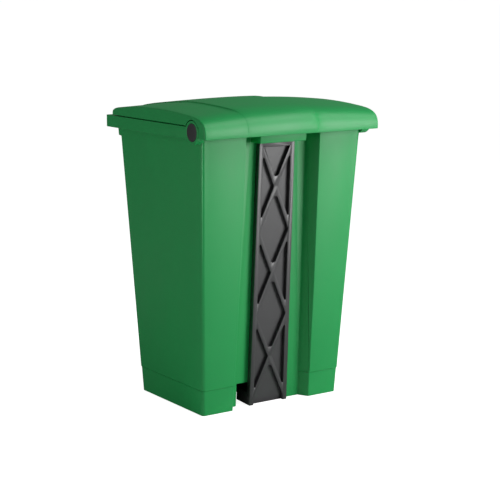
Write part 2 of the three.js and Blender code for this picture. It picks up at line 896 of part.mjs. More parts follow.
// One straight brace between two points of the plate's face
function brace(a, b, y0, y1) {
  const dx = b[0] - a[0];
  const dz = b[1] - a[1];
  const length = Math.hypot(dx, dz);
  const geometry = new THREE.BoxGeometry(braceWidth, y1 - y0, length);
  geometry.rotateY(Math.atan2(dx, dz));
  geometry.translate((a[0] + b[0]) / 2, (y0 + y1) / 2, (a[1] + b[1]) / 2);
  return toSolid(geometry);
}

function plateBraces(y0, y1) {
  const solids = [];
  for (let i = 0; i < crossCount; i += 1) {
    const low = firstCross + (i - 0.5) * crossPitch;
    const high = low + crossPitch;
    const lowHalf = plateHalfAt(low) - plateBorder / 2;
    const highHalf = plateHalfAt(high) - plateBorder / 2;
    solids.push(brace([-lowHalf, low], [highHalf, high], y0, y1));
    solids.push(brace([lowHalf, low], [-highHalf, high], y0, y1));
  }
  return join(...solids);
}

function liftPlate() {
  const back = slideGap;
  const front = slideGap + plateThickness;
  const floor = front - pocketDepth;
  const slab = plateBlock(plateFoot, plateHead, 0, back, front);
  const pocket = plateBlock(
    plateFoot - overrun, plateHead - plateHeadBand, plateBorder, floor, front + overrun,
  );
  const braces = plateBraces(floor - slideGap, front).intersect(slab);
  const nose = noseInPlateFrame();
  const shelfBottom = nose.z + noseRadius + touchGap;
  const shelfTop = shelfBottom + shelfThickness;
  const half = plateHalfAtFoot;
  const joinDepth = back + (plateThickness - pocketDepth) / 2;
  const sideWalls = [-1, 1].map((side) => {
    const xs = [side * half, side * (half - footSideWall)].sort((a, b) => a - b);
    return block(xs[0], xs[1], -shelfReach, joinDepth, plateFoot, shelfTop);
  });
  const shelf = block(-half, half, -shelfReach, joinDepth, shelfBottom, shelfTop);
  const keeper = block(
    -half - keeperReach, -half + footSideWall / 2,
    -wall - slideGap - keeperThickness, -wall - slideGap, plateFoot + footSideWall, plateFoot + keeperHeight,
  );
  return join(cut(slab, pocket), braces, ...sideWalls, shelf, keeper);
}

// Pedal lever, in its own frame: axle at the origin, y towards the rear, level arms

const treadLeanReach = (treadThickness / 2) * Math.sin(pedalHalfSwing);
const leverFront = (frontReach + axleY - treadLeanReach) / Math.cos(pedalHalfSwing);

function roundedPlate(halfX, y0, y1, z0, z1, radius) {
  const rings = [z0, z1].map((z) => roundedRing(-halfX, halfX, y0, y1, z, radius));
  return loft(rings, seenFromAbove);
}

function pedalLever() {
  const treadBack = -leverFront + treadDepth;
  const bottomAtRear = armTopAtRear - armThickness;
  const bottomAtFront = armTopAtFront - armThickness;
  const arms = join(
    block(-leverHalf, leverHalf, 0, rearArm, bottomAtRear, armTopAtRear),
    block(-leverHalf, leverHalf, treadBack - treadCorner, 0, bottomAtFront, armTopAtFront),
    discAlongX(noseRadius, -leverHalf, leverHalf, rearArm, 0, smallSteps),
    discAlongX(hubRadius, -leverHalf, leverHalf, 0, 0, smallSteps),
  );
  const tread = roundedPlate(
    treadHalf, -leverFront, treadBack, -treadThickness / 2, treadThickness / 2, treadCorner,
  );
  const pocketInner = leverPocketWall / 2;
  const pocketOuter = leverHalf - leverPocketWall;
  const pockets = [-1, 1].flatMap((side) => {
    const [x0, x1] = [side * pocketInner, side * pocketOuter].sort((a, b) => a - b);
    return [
      block(
        x0, x1, hubRadius + leverPocketWall, rearArm - noseRadius - leverPocketWall,
        bottomAtRear - overrun, bottomAtRear + leverPocketDepth,
      ),
      block(
        x0, x1, treadBack, -hubRadius - leverPocketWall,
        bottomAtFront - overrun, bottomAtFront + leverPocketDepth,
      ),
    ];
  });
  const bore = discAlongX(axleRadius + touchGap, -leverHalf - overrun, leverHalf + overrun, 0, 0, smallSteps);
  return cut(join(arms, tread), ...pockets, bore);
}

function treadPad() {
  const y0 = -leverFront + padInset;
  const y1 = -leverFront + treadDepth - padInset;
  const z0 = treadThickness / 2 + touchGap;
  const pad = roundedPlate(treadHalf - padInset, y0, y1, z0, z0 + padThickness, treadCorner - padInset);
  const grooves = [];
  for (let i = 1; i <= padGrooveCount; i += 1) {
    const y = mix(y0, y1, i / (padGrooveCount + 1));
    grooves.push(block(
      -treadHalf + padGrooveInset, treadHalf - padGrooveInset, y - padGrooveWidth / 2, y + padGrooveWidth / 2,
      z0 + padThickness - padGrooveDepth, z0 + padThickness + overrun,
    ));
  }
  return cut(pad, ...grooves);
}

function pedalAxle() {
  return discAlongX(axleRadius, -axleHalf, axleHalf, axleY, axleZ, smallSteps);
}

function axleRetainer(side) {
  const xs = [side * bearingInner, side * (bearingInner + bearingWidth)].sort((a, b) => a - b);
  const top = bearingBottom - touchGap;
  const bottom = top - retainerThickness;
  const tongueTop = axleZ - axleRadius - touchGap;
  const plate = block(xs[0], xs[1], axleY - bearingHalf, axleY + bearingHalf, bottom, top);
  const tongue = block(xs[0], xs[1], axleY - axleRadius, axleY + axleRadius, bottom, tongueTop);
  const holes = retainerScrewPlaces(side).map(([x, y]) => discAlongZ(screwRadius + touchGap, 0, axleZ, x, y));
  return cut(join(plate, tongue), ...holes);
}

function axleClip(side) {
  const near = side * (bearingInner + bearingWidth + touchGap);
  const far = near + side * clipThickness;
  const ring = cut(
    discAlongX(clipRadius, near, far, axleY, axleZ, smallSteps),
    discAlongX(axleRadius + touchGap, near - side * overrun, far + side * overrun, axleY, axleZ, smallSteps),
  );
  const mouthHalf = axleRadius / 2;
  const mouth = block(-axleHalf, axleHalf, axleY - mouthHalf, axleY + mouthHalf, 0, axleZ);
  return cut(ring, mouth);
}

function retainerScrew(x, y) {
  const seat = bearingBottom - touchGap - retainerThickness - touchGap;
  const profile = [
    [0, seat - screwHeadHeight],
    [screwCrownRadius, seat - screwHeadHeight],
    [screwHeadRadius, seat - screwHeadHeight / 2],
    [screwHeadRadius, seat],
    [screwRadius, seat],
    [screwRadius, seat + screwLength - screwRadius],
    [0, seat + screwLength],
  ].map(([r, h]) => new THREE.Vector2(r, h));
  const geometry = new THREE.LatheGeometry(profile, smallSteps);
  geometry.rotateX(Math.PI / 2);
  geometry.translate(x, y, 0);
  const half = screwSlotWidth / 2;
  const reach = screwSlotReach;
  const low = seat - screwHeadHeight - overrun;
  const high = seat - screwHeadHeight + screwSlotDepth;
  return cut(
    toSolid(geometry),
    block(x - half, x + half, y - reach, y + reach, low, high),
    block(x - reach, x + reach, y - half, y + half, low, high),
  );
}

function footPad([x, y]) {
  const profile = [
    [0, 0],
    [footRadius - footRound, 0],
    [footRadius, footRound],
    [footRadius, footThickness],
    [0, footThickness],
  ].map(([r, h]) => new THREE.Vector2(r, h));
  const geometry = new THREE.LatheGeometry(profile, smallSteps);
  geometry.rotateX(Math.PI / 2);
  geometry.translate(x, y, 0);
  return toSolid(geometry);
}

function lidBumper([x, y]) {
  const low = rimTop + touchGap;
  const profile = [
    [0, low],
    [bumperRadius - bumperRound, low],
    [bumperRadius, low + bumperRound],
    [bumperRadius, low + bumperHeight],
    [bumperStemRadius, low + bumperHeight],
    [bumperStemRadius, low + bumperHeight + bumperStem],
    [0, low + bumperHeight + bumperStem],
  ].map(([r, h]) => new THREE.Vector2(r, h));
  const geometry = new THREE.LatheGeometry(profile, smallSteps);
  geometry.rotateX(Math.PI / 2);
  geometry.translate(x, y, 0);
  return toSolid(geometry);
}

// The assembly

function piece(name, solid, look) {
  const geometry = toGeometry(solid);
  geometry.computeVertexNormals();
  const mesh = new THREE.Mesh(geometry, new THREE.MeshStandardMaterial(look));
  mesh.name = name;
  return mesh;
}

const trashCan = new THREE.Group();
trashCan.add(piece('container', container(), green));
trashCan.add(piece('lid', lid(), green));

for (const [side, word] of [[-1, 'left'], [1, 'right']]) {
  trashCan.add(piece(`hinge_pin_${word}`, hingePin(side), steel));
  trashCan.add(piece(`hinge_bushing_${word}`, hingeBushing(side), nylon));
  trashCan.add(piece(`hinge_cap_${word}`, hingeCap(side), black));
  trashCan.add(piece(`axle_retainer_${word}`, axleRetainer(side), black));
  trashCan.add(piece(`axle_clip_${word}`, axleClip(side), steel));
}

const plateGroup = new THREE.Group();
plateGroup.position.set(0, channelFaceAtFloor, 0);
plateGroup.rotation.x = -lean;
plateGroup.add(piece('lift_plate', liftPlate(), black));
trashCan.add(plateGroup);

const pedalGroup = new THREE.Group();
pedalGroup.position.set(0, axleY, axleZ);
pedalGroup.rotation.x = -pedalHalfSwing;
pedalGroup.add(piece('pedal_lever', pedalLever(), black));
pedalGroup.add(piece('pedal_tread', treadPad(), rubber));
trashCan.add(pedalGroup);
trashCan.add(piece('pedal_axle', pedalAxle(), steel));

const screwPlaces = [...retainerScrewPlaces(-1), ...retainerScrewPlaces(1)];
screwPlaces.forEach(([x, y], i) => {
  trashCan.add(piece(`retainer_screw_${i + 1}`, retainerScrew(x, y), steel));
});
footPlaces().forEach((place, i) => {
  trashCan.add(piece(`foot_pad_${i + 1}`, footPad(place), rubber));
});
bumperSpots().forEach((place, i) => {
  trashCan.add(piece(`lid_bumper_${i + 1}`, lidBumper(place), rubber));
});

export default trashCan;
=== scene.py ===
"""Step-on trash can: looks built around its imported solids, laid out as an add-on."""

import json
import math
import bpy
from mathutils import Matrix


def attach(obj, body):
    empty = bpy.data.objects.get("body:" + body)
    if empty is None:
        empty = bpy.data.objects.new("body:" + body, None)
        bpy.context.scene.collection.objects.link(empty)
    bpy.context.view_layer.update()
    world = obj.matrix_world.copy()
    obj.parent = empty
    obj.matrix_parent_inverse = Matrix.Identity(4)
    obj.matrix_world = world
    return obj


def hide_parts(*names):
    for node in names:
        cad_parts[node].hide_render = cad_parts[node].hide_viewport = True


bl_info = {
    "name": "Step-on trash can",
    "version": (1, 0, 0),
    "blender": (4, 5, 0),
    "location": "3D View > Sidebar > Trash can",
    "description": "Builds a step-on trash can with a hinged lid, a lift plate and a pedal",
    "category": "Add Mesh",
}

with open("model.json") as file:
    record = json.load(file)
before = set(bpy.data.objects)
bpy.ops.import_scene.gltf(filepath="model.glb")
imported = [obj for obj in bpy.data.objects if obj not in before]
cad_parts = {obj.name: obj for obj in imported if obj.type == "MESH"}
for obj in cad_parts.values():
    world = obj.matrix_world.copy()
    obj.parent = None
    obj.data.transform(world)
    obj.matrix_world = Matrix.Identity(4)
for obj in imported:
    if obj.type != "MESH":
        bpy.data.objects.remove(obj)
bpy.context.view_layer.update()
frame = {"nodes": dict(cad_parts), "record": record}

import bmesh
import bpy
from mathutils import Matrix, Vector

MM = 0.001
# Corners closer than this are one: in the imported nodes, in meshes from trees, and within trees
PACKED_WITHIN, GROWN_WITHIN, MERGED_WITHIN = 0.004 * MM, 0.002 * MM, 0.0005 * MM


def linear(hex_colour):
    """An sRGB hex colour as linear red, green, blue."""
    parts = [int(hex_colour[i : i + 2], 16) / 255 for i in (1, 3, 5)]
    return tuple(p / 12.92 if p <= 0.04045 else ((p + 0.055) / 1.055) ** 2.4 for p in parts)


# Settings


def length(name, description, millimetres):
    return bpy.props.FloatProperty(
        name=name, description=description, default=millimetres * MM, min=0.0, precision=5, unit="LENGTH"
    )


def count(name, description, default):
    return bpy.props.IntProperty(name=name, description=description, default=default, min=1)


def colour(name, description, hex_colour):
    return bpy.props.FloatVectorProperty(
        name=name, description=description, default=linear(hex_colour), subtype="COLOR", min=0.0, max=1.0
    )


class CanColours(bpy.types.PropertyGroup):
    """Colours of the can's mouldings and hardware."""

    green: colour("Green moulding", "Colour of the bin and the lid", "#0aa652")
    black: colour("Black moulding", "Colour of the lift plate, lever, caps and retainers", "#232326")
    rubber: colour("Rubber", "Colour of the tread pad, feet and bumpers", "#1b1b1c")
    steel: colour("Zinc plate", "Colour of the pins, axle, clips and screws", "#b9bcbf")
    nylon: colour("Natural nylon", "Colour of the hinge bushings", "#e6e1d3")
    floor: colour("Floor", "Colour of the studio floor", "#dedede")


class CanSizes(bpy.types.PropertyGroup):
    """Sizes of the lid, the lift plate and the tread pad, and the rounding of edges."""

    wall_round: length("Wall edge round", "Radius of the bin's edges", 1.2)
    plate_round: length("Plate edge round", "Radius of the lift plate's and the lever's edges", 0.6)
    small_round: length("Small edge round", "Radius of the edges of small mouldings", 0.35)
    round_steps: count("Round steps", "Facets across each rounded edge", 3)
    turn_steps: count("Turning steps", "Facets round each turned piece", 64)
    lid_wall: length("Lid wall", "Thickness of the lid's shell", 3)
    lid_end_round: length("Lid end round", "Radius of the lid's two end edges", 3)
    crown: length("Crown", "Rise of the lid's middle over its ends, at the crest", 12.4)
    crown_at_rear: length("Crown at the rear", "The same rise, over the rear shoulder", 9.4)
    crown_at_front: length("Crown at the front", "The same rise, at the front edge", 1.4)
    panel_raise: length("Panel rise", "Rise of the lid's middle panel", 2.2)
    panel_bevel: length("Panel bevel", "Width of the slope beside the panel", 1.9)
    plate_border: length("Plate border", "Width of the lift plate's border", 9.5)
    brace_width: length("Brace width", "Width of the lift plate's crossed braces", 7.8)
    pocket_depth: length("Pocket depth", "Depth of the pockets between the braces", 7.2)
    pocket_fillet: length("Pocket fillet", "Radius in the pockets' corners at the crossings", 6.8)
    groove_count: count("Tread grooves", "Grooves across the tread pad", 6)
    groove_width: length("Tread groove width", "Width of each groove", 2.4)
    groove_depth: length("Tread groove depth", "Depth of each groove", 1.2)


def settings():
    return bpy.context.scene.can_colours, bpy.context.scene.can_sizes


# Nodes


def add(tree, kind, inputs=None, **values):
    """Adds a node with its settings, links or sets each named or numbered input, gives its outputs."""
    made = tree.nodes.new(kind)
    for key, value in values.items():
        setattr(made, key, value)
    for key, value in (inputs or {}).items():
        for one in value if isinstance(value, list) else [value]:
            if isinstance(one, bpy.types.NodeSocket):
                tree.links.new(one, made.inputs[key])
            else:
                made.inputs[key].default_value = one
    return made.outputs


# Materials


# A colour mix node holds its sockets by number
FACTOR, DARK, LIGHT, MIXED = 0, 6, 7, 2
# How far flow marks darken and lighten a moulding, and dust lightens rubber
FLOW_DARKER, FLOW_LIGHTER = 0.93, 1.06
DUST_LIGHTER = 1.8
# How far stains darken zinc plate
STAIN_DARKER = 0.86


def shade(value, share=1.0):
    """A colour's four numbers, darkened or lightened by a share."""
    return (*(min(1.0, c * share) for c in value), 1.0)


def new_material(name):
    made = bpy.data.materials.new(name)
    made.use_nodes = True
    made.node_tree.nodes.clear()
    return made, made.node_tree


def moulded_plastic(name, base, ior, rough, grain_size, grain_depth, specular):
    """Injection-moulded plastic: even colour, a satin skin from the blasted mould, faint flow marks."""
    made, tree = new_material(name)
    place = add(tree, "ShaderNodeTexCoord")["Object"]
    grain = add(
        tree, "ShaderNodeTexNoise",
        {"Vector": place, "Scale": 1 / (grain_size * MM), "Detail": 2.0, "Roughness": 0.5},
    )["Fac"]
    flow_place = add(tree, "ShaderNodeMapping", {"Vector": place, "Scale": (1.0, 1.0, 0.35)})[0]
    flow = add(
        tree, "ShaderNodeTexNoise",
        {"Vector": flow_place, "Scale": 1 / (70 * MM), "Detail": 3.0, "Roughness": 0.55},
    )["Fac"]
    shades = {FACTOR: flow, DARK: shade(base, FLOW_DARKER), LIGHT: shade(base, FLOW_LIGHTER)}
    tint = add(tree, "ShaderNodeMix", shades, data_type="RGBA")[MIXED]
    roughness = add(
        tree, "ShaderNodeMapRange",
        {"Value": flow, "From Min": 0.3, "From Max": 0.7, "To Min": rough - 0.03, "To Max": rough + 0.04},
    )["Result"]
    bump = add(
        tree, "ShaderNodeBump", {"Height": grain, "Distance": grain_depth * MM, "Strength": 1.0}
    )["Normal"]
    skin = add(
        tree, "ShaderNodeBsdfPrincipled",
        {
            "Base Color": tint, "Roughness": roughness, "IOR": ior,
            "Specular IOR Level": specular, "Normal": bump,
        },
    )
    add(tree, "ShaderNodeOutputMaterial", {"Surface": skin[0]})
    return made


def vulcanised_rubber(name, base):
    """Moulded EPDM rubber: dull black with a fine dusty bloom."""
    made, tree = new_material(name)
    place = add(tree, "ShaderNodeTexCoord")["Object"]
    bloom = add(
        tree, "ShaderNodeTexNoise",
        {"Vector": place, "Scale": 1 / (9 * MM), "Detail": 4.0, "Roughness": 0.6},
    )["Fac"]
    grit = add(
        tree, "ShaderNodeTexNoise", {"Vector": place, "Scale": 1 / (0.7 * MM), "Detail": 1.0}
    )["Fac"]
    shades = {FACTOR: bloom, DARK: shade(base), LIGHT: shade(base, DUST_LIGHTER)}
    tint = add(tree, "ShaderNodeMix", shades, data_type="RGBA")[MIXED]
    bump = add(
        tree, "ShaderNodeBump", {"Height": grit, "Distance": 0.06 * MM, "Strength": 0.8}
    )["Normal"]
    skin = add(
        tree, "ShaderNodeBsdfPrincipled",
        {"Base Color": tint, "Roughness": 0.8, "IOR": 1.52, "Specular IOR Level": 0.4, "Normal": bump},
    )
    add(tree, "ShaderNodeOutputMaterial", {"Surface": skin[0]})
    return made


def zinc_plated_steel(name, base):
    """Drawn steel under bright zinc plate: bluish grey metal with fine lengthwise drawing lines."""
    made, tree = new_material(name)
    place = add(tree, "ShaderNodeTexCoord")["Object"]
    along = add(tree, "ShaderNodeMapping", {"Vector": place, "Scale": (0.04, 1.0, 1.0)})[0]
    lines = add(
        tree, "ShaderNodeTexNoise", {"Vector": along, "Scale": 1 / (0.3 * MM), "Detail": 2.0}
    )["Fac"]
    stain = add(
        tree, "ShaderNodeTexNoise", {"Vector": place, "Scale": 1 / (6 * MM), "Detail": 3.0}
    )["Fac"]
    shades = {FACTOR: stain, DARK: shade(base, STAIN_DARKER), LIGHT: shade(base)}
    tint = add(tree, "ShaderNodeMix", shades, data_type="RGBA")[MIXED]
    roughness = add(
        tree, "ShaderNodeMapRange", {"Value": stain, "To Min": 0.24, "To Max": 0.42}
    )["Result"]
    bump = add(
        tree, "ShaderNodeBump", {"Height": lines, "Distance": 0.01 * MM, "Strength": 0.6}
    )["Normal"]
    skin = add(
        tree, "ShaderNodeBsdfPrincipled",
        {"Base Color": tint, "Roughness": roughness, "Metallic": 1.0, "Normal": bump},
    )
    add(tree, "ShaderNodeOutputMaterial", {"Surface": skin[0]})
    return made


FINISHES = {}


def finish_of(slot):
    """The material of one of the record's slots, made once."""
    if slot not in FINISHES:
        colours, _ = settings()
        makers = {
            "green_plastic": lambda: moulded_plastic(
                "moulded_polypropylene_green", tuple(colours.green),
                ior=1.49, rough=0.46, grain_size=0.8, grain_depth=0.02, specular=0.66,
            ),
            "black_plastic": lambda: moulded_plastic(
                "moulded_polypropylene_black", tuple(colours.black),
                ior=1.53, rough=0.38, grain_size=0.8, grain_depth=0.03, specular=1.0,
            ),
            "black_rubber": lambda: vulcanised_rubber("moulded_epdm_rubber", tuple(colours.rubber)),
            "steel": lambda: zinc_plated_steel("drawn_zinc_plated_steel", tuple(colours.steel)),
            "nylon": lambda: moulded_plastic(
                "moulded_nylon_natural", tuple(colours.nylon),
                ior=1.53, rough=0.4, grain_size=0.5, grain_depth=0.01, specular=0.5,
            ),
        }
        FINISHES[slot] = makers[slot]()
    return FINISHES[slot]


# Pieces


def slot_of(node):
    for row in frame["record"]["subparts"]:
        if row["node"] == node:
            return row["material_slot"]
    raise RuntimeError(f"no subpart named {node}")


def body_of(node):
    for body, nodes in frame["record"]["behaviour"]["bodies"].items():
        if node in nodes:
            return body
    raise RuntimeError(f"no body holds {node}")


def join_flat_faces(bm, under):
    """Makes faces one where they meet under an angle in degrees."""
    bmesh.ops.dissolve_limit(
        bm, angle_limit=math.radians(under), use_dissolve_boundaries=False,
        verts=bm.verts, edges=bm.edges, delimit=set(),
    )


def merged_copy(node):
    """The node's triangles with shared corners, and flat faces made one."""
    bm = bmesh.new()
    bm.from_mesh(frame["nodes"][node].data)
    bmesh.ops.remove_doubles(bm, verts=bm.verts, dist=PACKED_WITHIN)
    join_flat_faces(bm, under=0.5)
    return bm


def round_edges(bm, width, steps, sharp, outward=False):
    """Rounds the edges sharper than an angle in degrees: those long enough to hold the round,
    or the outward ones alone, so that corners inside pockets stay as cut."""
    edges = [
        e for e in bm.edges
        if len(e.link_faces) == 2
        and e.calc_face_angle(0.0) > math.radians(sharp)
        and (e.is_convex if outward else e.calc_length() > width)
    ]
    bmesh.ops.bevel(
        bm, geom=edges, offset=width, offset_type="OFFSET", segments=steps, profile=0.5,
        affect="EDGES", clamp_overlap=False, loop_slide=True, material=-1,
        miter_outer="SHARP", miter_inner="SHARP",
    )


def piece_from(mesh, name, nodes, smooth_under=35.0):
    """Makes the mesh an object that rides with the nodes it stands for, in their finish."""
    slot = slot_of(nodes[0])
    mesh.name = name
    mesh.materials.clear()
    mesh.materials.append(finish_of(slot))
    mesh.shade_smooth()
    mesh.set_sharp_from_angle(angle=math.radians(smooth_under))
    made = bpy.data.objects.new(name, mesh)
    bpy.context.scene.collection.objects.link(made)
    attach(made, body_of(nodes[0]))
    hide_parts(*nodes)


def mesh_of(bm):
    mesh = bpy.data.meshes.new("shape")
    bm.to_mesh(mesh)
    bm.free()
    return mesh


def rounded_piece(node, width, steps):
    bm = merged_copy(node)
    round_edges(bm, width, steps, sharp=30.0)
    piece_from(mesh_of(bm), node + "_moulded", [node])


def dress(node):
    """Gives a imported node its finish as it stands."""
    mesh = frame["nodes"][node].data
    mesh.materials.clear()
    mesh.materials.append(finish_of(slot_of(node)))


# Geometry trees


def new_tree(name, sizes):
    """A geometry tree with a named input for each size; gives it and its inputs."""
    tree = bpy.data.node_groups.new(name, "GeometryNodeTree")
    tree.interface.new_socket("Geometry", in_out="INPUT", socket_type="NodeSocketGeometry")
    for label, kind in sizes.items():
        tree.interface.new_socket(label, in_out="INPUT", socket_type="NodeSocket" + kind)
    tree.interface.new_socket("Geometry", in_out="OUTPUT", socket_type="NodeSocketGeometry")
    return tree, add(tree, "NodeGroupInput")


def end_tree(tree, given, geometry):
    """Ends a modifier's tree in Realize Instances and Set Material."""
    real = add(tree, "GeometryNodeRealizeInstances", {"Geometry": geometry})[0]
    dressed = add(tree, "GeometryNodeSetMaterial", {"Geometry": real, "Material": given["Material"]})[0]
    add(tree, "NodeGroupOutput", {"Geometry": dressed})
    return tree


def seed_mesh(loops):
    """Points and edges for a tree to start from. A loop is (points in mm, closed, tags), and
    a tag gives one number or vector for all the loop's points, or a list with one for each."""
    points, edges, layers = [], [], {}
    for places, closed, tags in loops:
        start, size = len(points), len(places)
        points += [tuple(c * MM for c in place) for place in places]
        edges += [(start + i, start + i + 1) for i in range(size - 1)]
        if closed:
            edges.append((start + size - 1, start))
        for key, value in tags.items():
            values = value if isinstance(value, list) else [value] * size
            layers.setdefault(key, []).append((start, values))
    mesh = bpy.data.meshes.new("seed")
    mesh.from_pydata(points, edges, [])
    for key, runs in layers.items():
        is_vector = isinstance(runs[0][1][0], tuple)
        layer = mesh.attributes.new(key, "FLOAT_VECTOR" if is_vector else "FLOAT", "POINT")
        for start, values in runs:
            for i, value in enumerate(values):
                if is_vector:
                    layer.data[start + i].vector = value
                else:
                    layer.data[start + i].value = value
    return mesh


def grown(tree, seed, slot, sizes):
    """The plain mesh that a tree makes from its seed and sizes."""
    holder = bpy.data.objects.new("seed", seed)
    bpy.context.scene.collection.objects.link(holder)
    modifier = holder.modifiers.new(tree.name, "NODES")
    modifier.node_group = tree
    given = {"Material": finish_of(slot), **sizes}
    for item in tree.interface.items_tree:
        if item.in_out == "INPUT" and item.name != "Geometry":
            modifier[item.identifier] = given[item.name]
    graph = bpy.context.evaluated_depsgraph_get()
    mesh = bpy.data.meshes.new_from_object(holder.evaluated_get(graph))
    holder.modifiers.remove(modifier)
    bpy.data.objects.remove(holder)
    if not mesh.polygons:
        raise RuntimeError(f"the tree {tree.name} made no faces")
    for layer in [a.name for a in mesh.attributes if not a.is_required and not a.is_internal]:
        if layer not in ("sharp_face", "sharp_edge", "material_index"):
            mesh.attributes.remove(mesh.attributes[layer])
    return mesh


def merged_mesh(mesh, round_width=0.0):
    """The mesh with doubles merged, flat faces made one, its faces outward and, where a
    width is given, its outward edges rounded."""
    bm = bmesh.new()
    bm.from_mesh(mesh)
    bmesh.ops.remove_doubles(bm, verts=bm.verts, dist=GROWN_WITHIN)
    bmesh.ops.dissolve_degenerate(bm, edges=bm.edges, dist=GROWN_WITHIN)
    join_flat_faces(bm, under=0.05)
    bmesh.ops.recalc_face_normals(bm, faces=bm.faces)
    if round_width:
        round_edges(bm, round_width, steps=2, sharp=40.0, outward=True)
    return mesh_of(bm)


SECTION_NUMBERS = (
    "part", "is_station", "at_rise", "at_fade", "at_inset", "ring_raise", "ring_crown", "ring_fade"
)
SECTION_VECTORS = ("at_span", "ring_place", "ring_out")


def swept_section():
    """A closed ring carried through its stations across the can, as a solid with flat ends."""
    sizes = dict.fromkeys(("Part", "Rear", "Front", "Half width"), "Float")
    tree, given = new_tree("swept_section", sizes)
    kinds = {**dict.fromkeys(SECTION_NUMBERS, "FLOAT"), **dict.fromkeys(SECTION_VECTORS, "FLOAT_VECTOR")}
    tag = {
        name: add(tree, "GeometryNodeInputNamedAttribute", {"Name": name}, data_type=kind)["Attribute"]
        for name, kind in kinds.items()
    }
    is_own = add(
        tree, "FunctionNodeCompare", {0: tag["part"], 1: given["Part"], "Epsilon": 0.1},
        data_type="FLOAT", operation="EQUAL",
    )[0]
    own = add(
        tree, "GeometryNodeSeparateGeometry", {"Geometry": given["Geometry"], "Selection": is_own}
    )["Selection"]
    split = add(tree, "GeometryNodeSeparateGeometry", {"Geometry": own, "Selection": tag["is_station"]})
    curves = []
    for points, others in (("Selection", "ring_*"), ("Inverted", "at_*")):
        bare = add(
            tree, "GeometryNodeRemoveAttribute", {"Geometry": split[points], "Name": others},
            pattern_mode="WILDCARD",
        )[0]
        curves.append(add(tree, "GeometryNodeMeshToCurve", {"Mesh": bare})[0])
    stations, ring = curves
    swept = add(
        tree, "GeometryNodeCurveToMesh", {"Curve": stations, "Profile Curve": ring, "Fill Caps": True}
    )[0]
    span = add(tree, "ShaderNodeSeparateXYZ", {0: tag["at_span"]})
    along = add(tree, "ShaderNodeSeparateXYZ", {0: tag["ring_place"]})["Y"]
    x = add(
        tree, "ShaderNodeMapRange",
        {
            "Value": along, "From Min": given["Rear"], "From Max": given["Front"],
            "To Min": span["X"], "To Max": span["Y"],
        },
        clamp=False,
    )["Result"]
    share = add(tree, "ShaderNodeMath", {0: x, 1: given["Half width"]}, operation="DIVIDE")[0]
    squared = add(tree, "ShaderNodeMath", {0: share, 1: 2.0}, operation="POWER")[0]
    lift = add(
        tree, "ShaderNodeMapRange", {"Value": squared, "To Min": tag["ring_crown"], "To Max": 0.0},
        clamp=False,
    )["Result"]
    faded = add(tree, "ShaderNodeMath", {0: tag["ring_fade"], 1: tag["at_fade"]}, operation="MULTIPLY")[0]
    kept = add(tree, "ShaderNodeMath", {0: 1.0, 1: faded}, operation="SUBTRACT")[0]
    rise = add(tree, "ShaderNodeMath", {0: tag["at_rise"], 1: kept}, operation="MULTIPLY")[0]
    risen = add(tree, "ShaderNodeMath", {0: tag["ring_raise"], 1: rise}, operation="MULTIPLY")[0]
    outwards = add(tree, "ShaderNodeMath", {0: risen, 1: tag["at_inset"]}, operation="SUBTRACT")[0]
    offset = add(tree, "ShaderNodeCombineXYZ", {"X": x, "Z": lift})[0]
    moved = add(
        tree, "ShaderNodeVectorMath", {0: tag["ring_out"], 1: outwards, 2: tag["ring_place"]},
        operation="MULTIPLY_ADD",
    )[0]
    place = add(tree, "ShaderNodeVectorMath", {0: moved, 1: offset}, operation="ADD")[0]
    formed = add(tree, "GeometryNodeSetPosition", {"Geometry": swept, "Position": place})[0]
    merged = add(tree, "GeometryNodeMergeByDistance", {"Geometry": formed, "Distance": MERGED_WITHIN})[0]
    add(tree, "NodeGroupOutput", {"Geometry": merged})
    return tree


def solid_from_outline():
    """Closed flat curves made a solid between two heights."""
    tree, given = new_tree("solid_from_outline", {"Low": "Float", "High": "Float"})
    flat = add(tree, "GeometryNodeFillCurve", {"Curve": given["Geometry"]}, mode="NGONS")[0]
    low = add(tree, "ShaderNodeCombineXYZ", {"Z": given["Low"]})[0]
    base = add(tree, "GeometryNodeTransform", {"Geometry": flat, "Translation": low})[0]
    depth = add(tree, "ShaderNodeMath", {0: given["High"], 1: given["Low"]}, operation="SUBTRACT")[0]
    up = add(tree, "ShaderNodeCombineXYZ", {"Z": depth})[0]
    risen = add(
        tree, "GeometryNodeExtrudeMesh",
        {"Mesh": base, "Offset": up, "Offset Scale": 1.0, "Individual": False},
    )["Mesh"]
    under = add(tree, "GeometryNodeFlipFaces", {"Mesh": base})[0]
    joined = add(tree, "GeometryNodeJoinGeometry", {"Geometry": [risen, under]})[0]
    merged = add(tree, "GeometryNodeMergeByDistance", {"Geometry": joined, "Distance": MERGED_WITHIN})[0]
    add(tree, "NodeGroupOutput", {"Geometry": merged})
    return tree


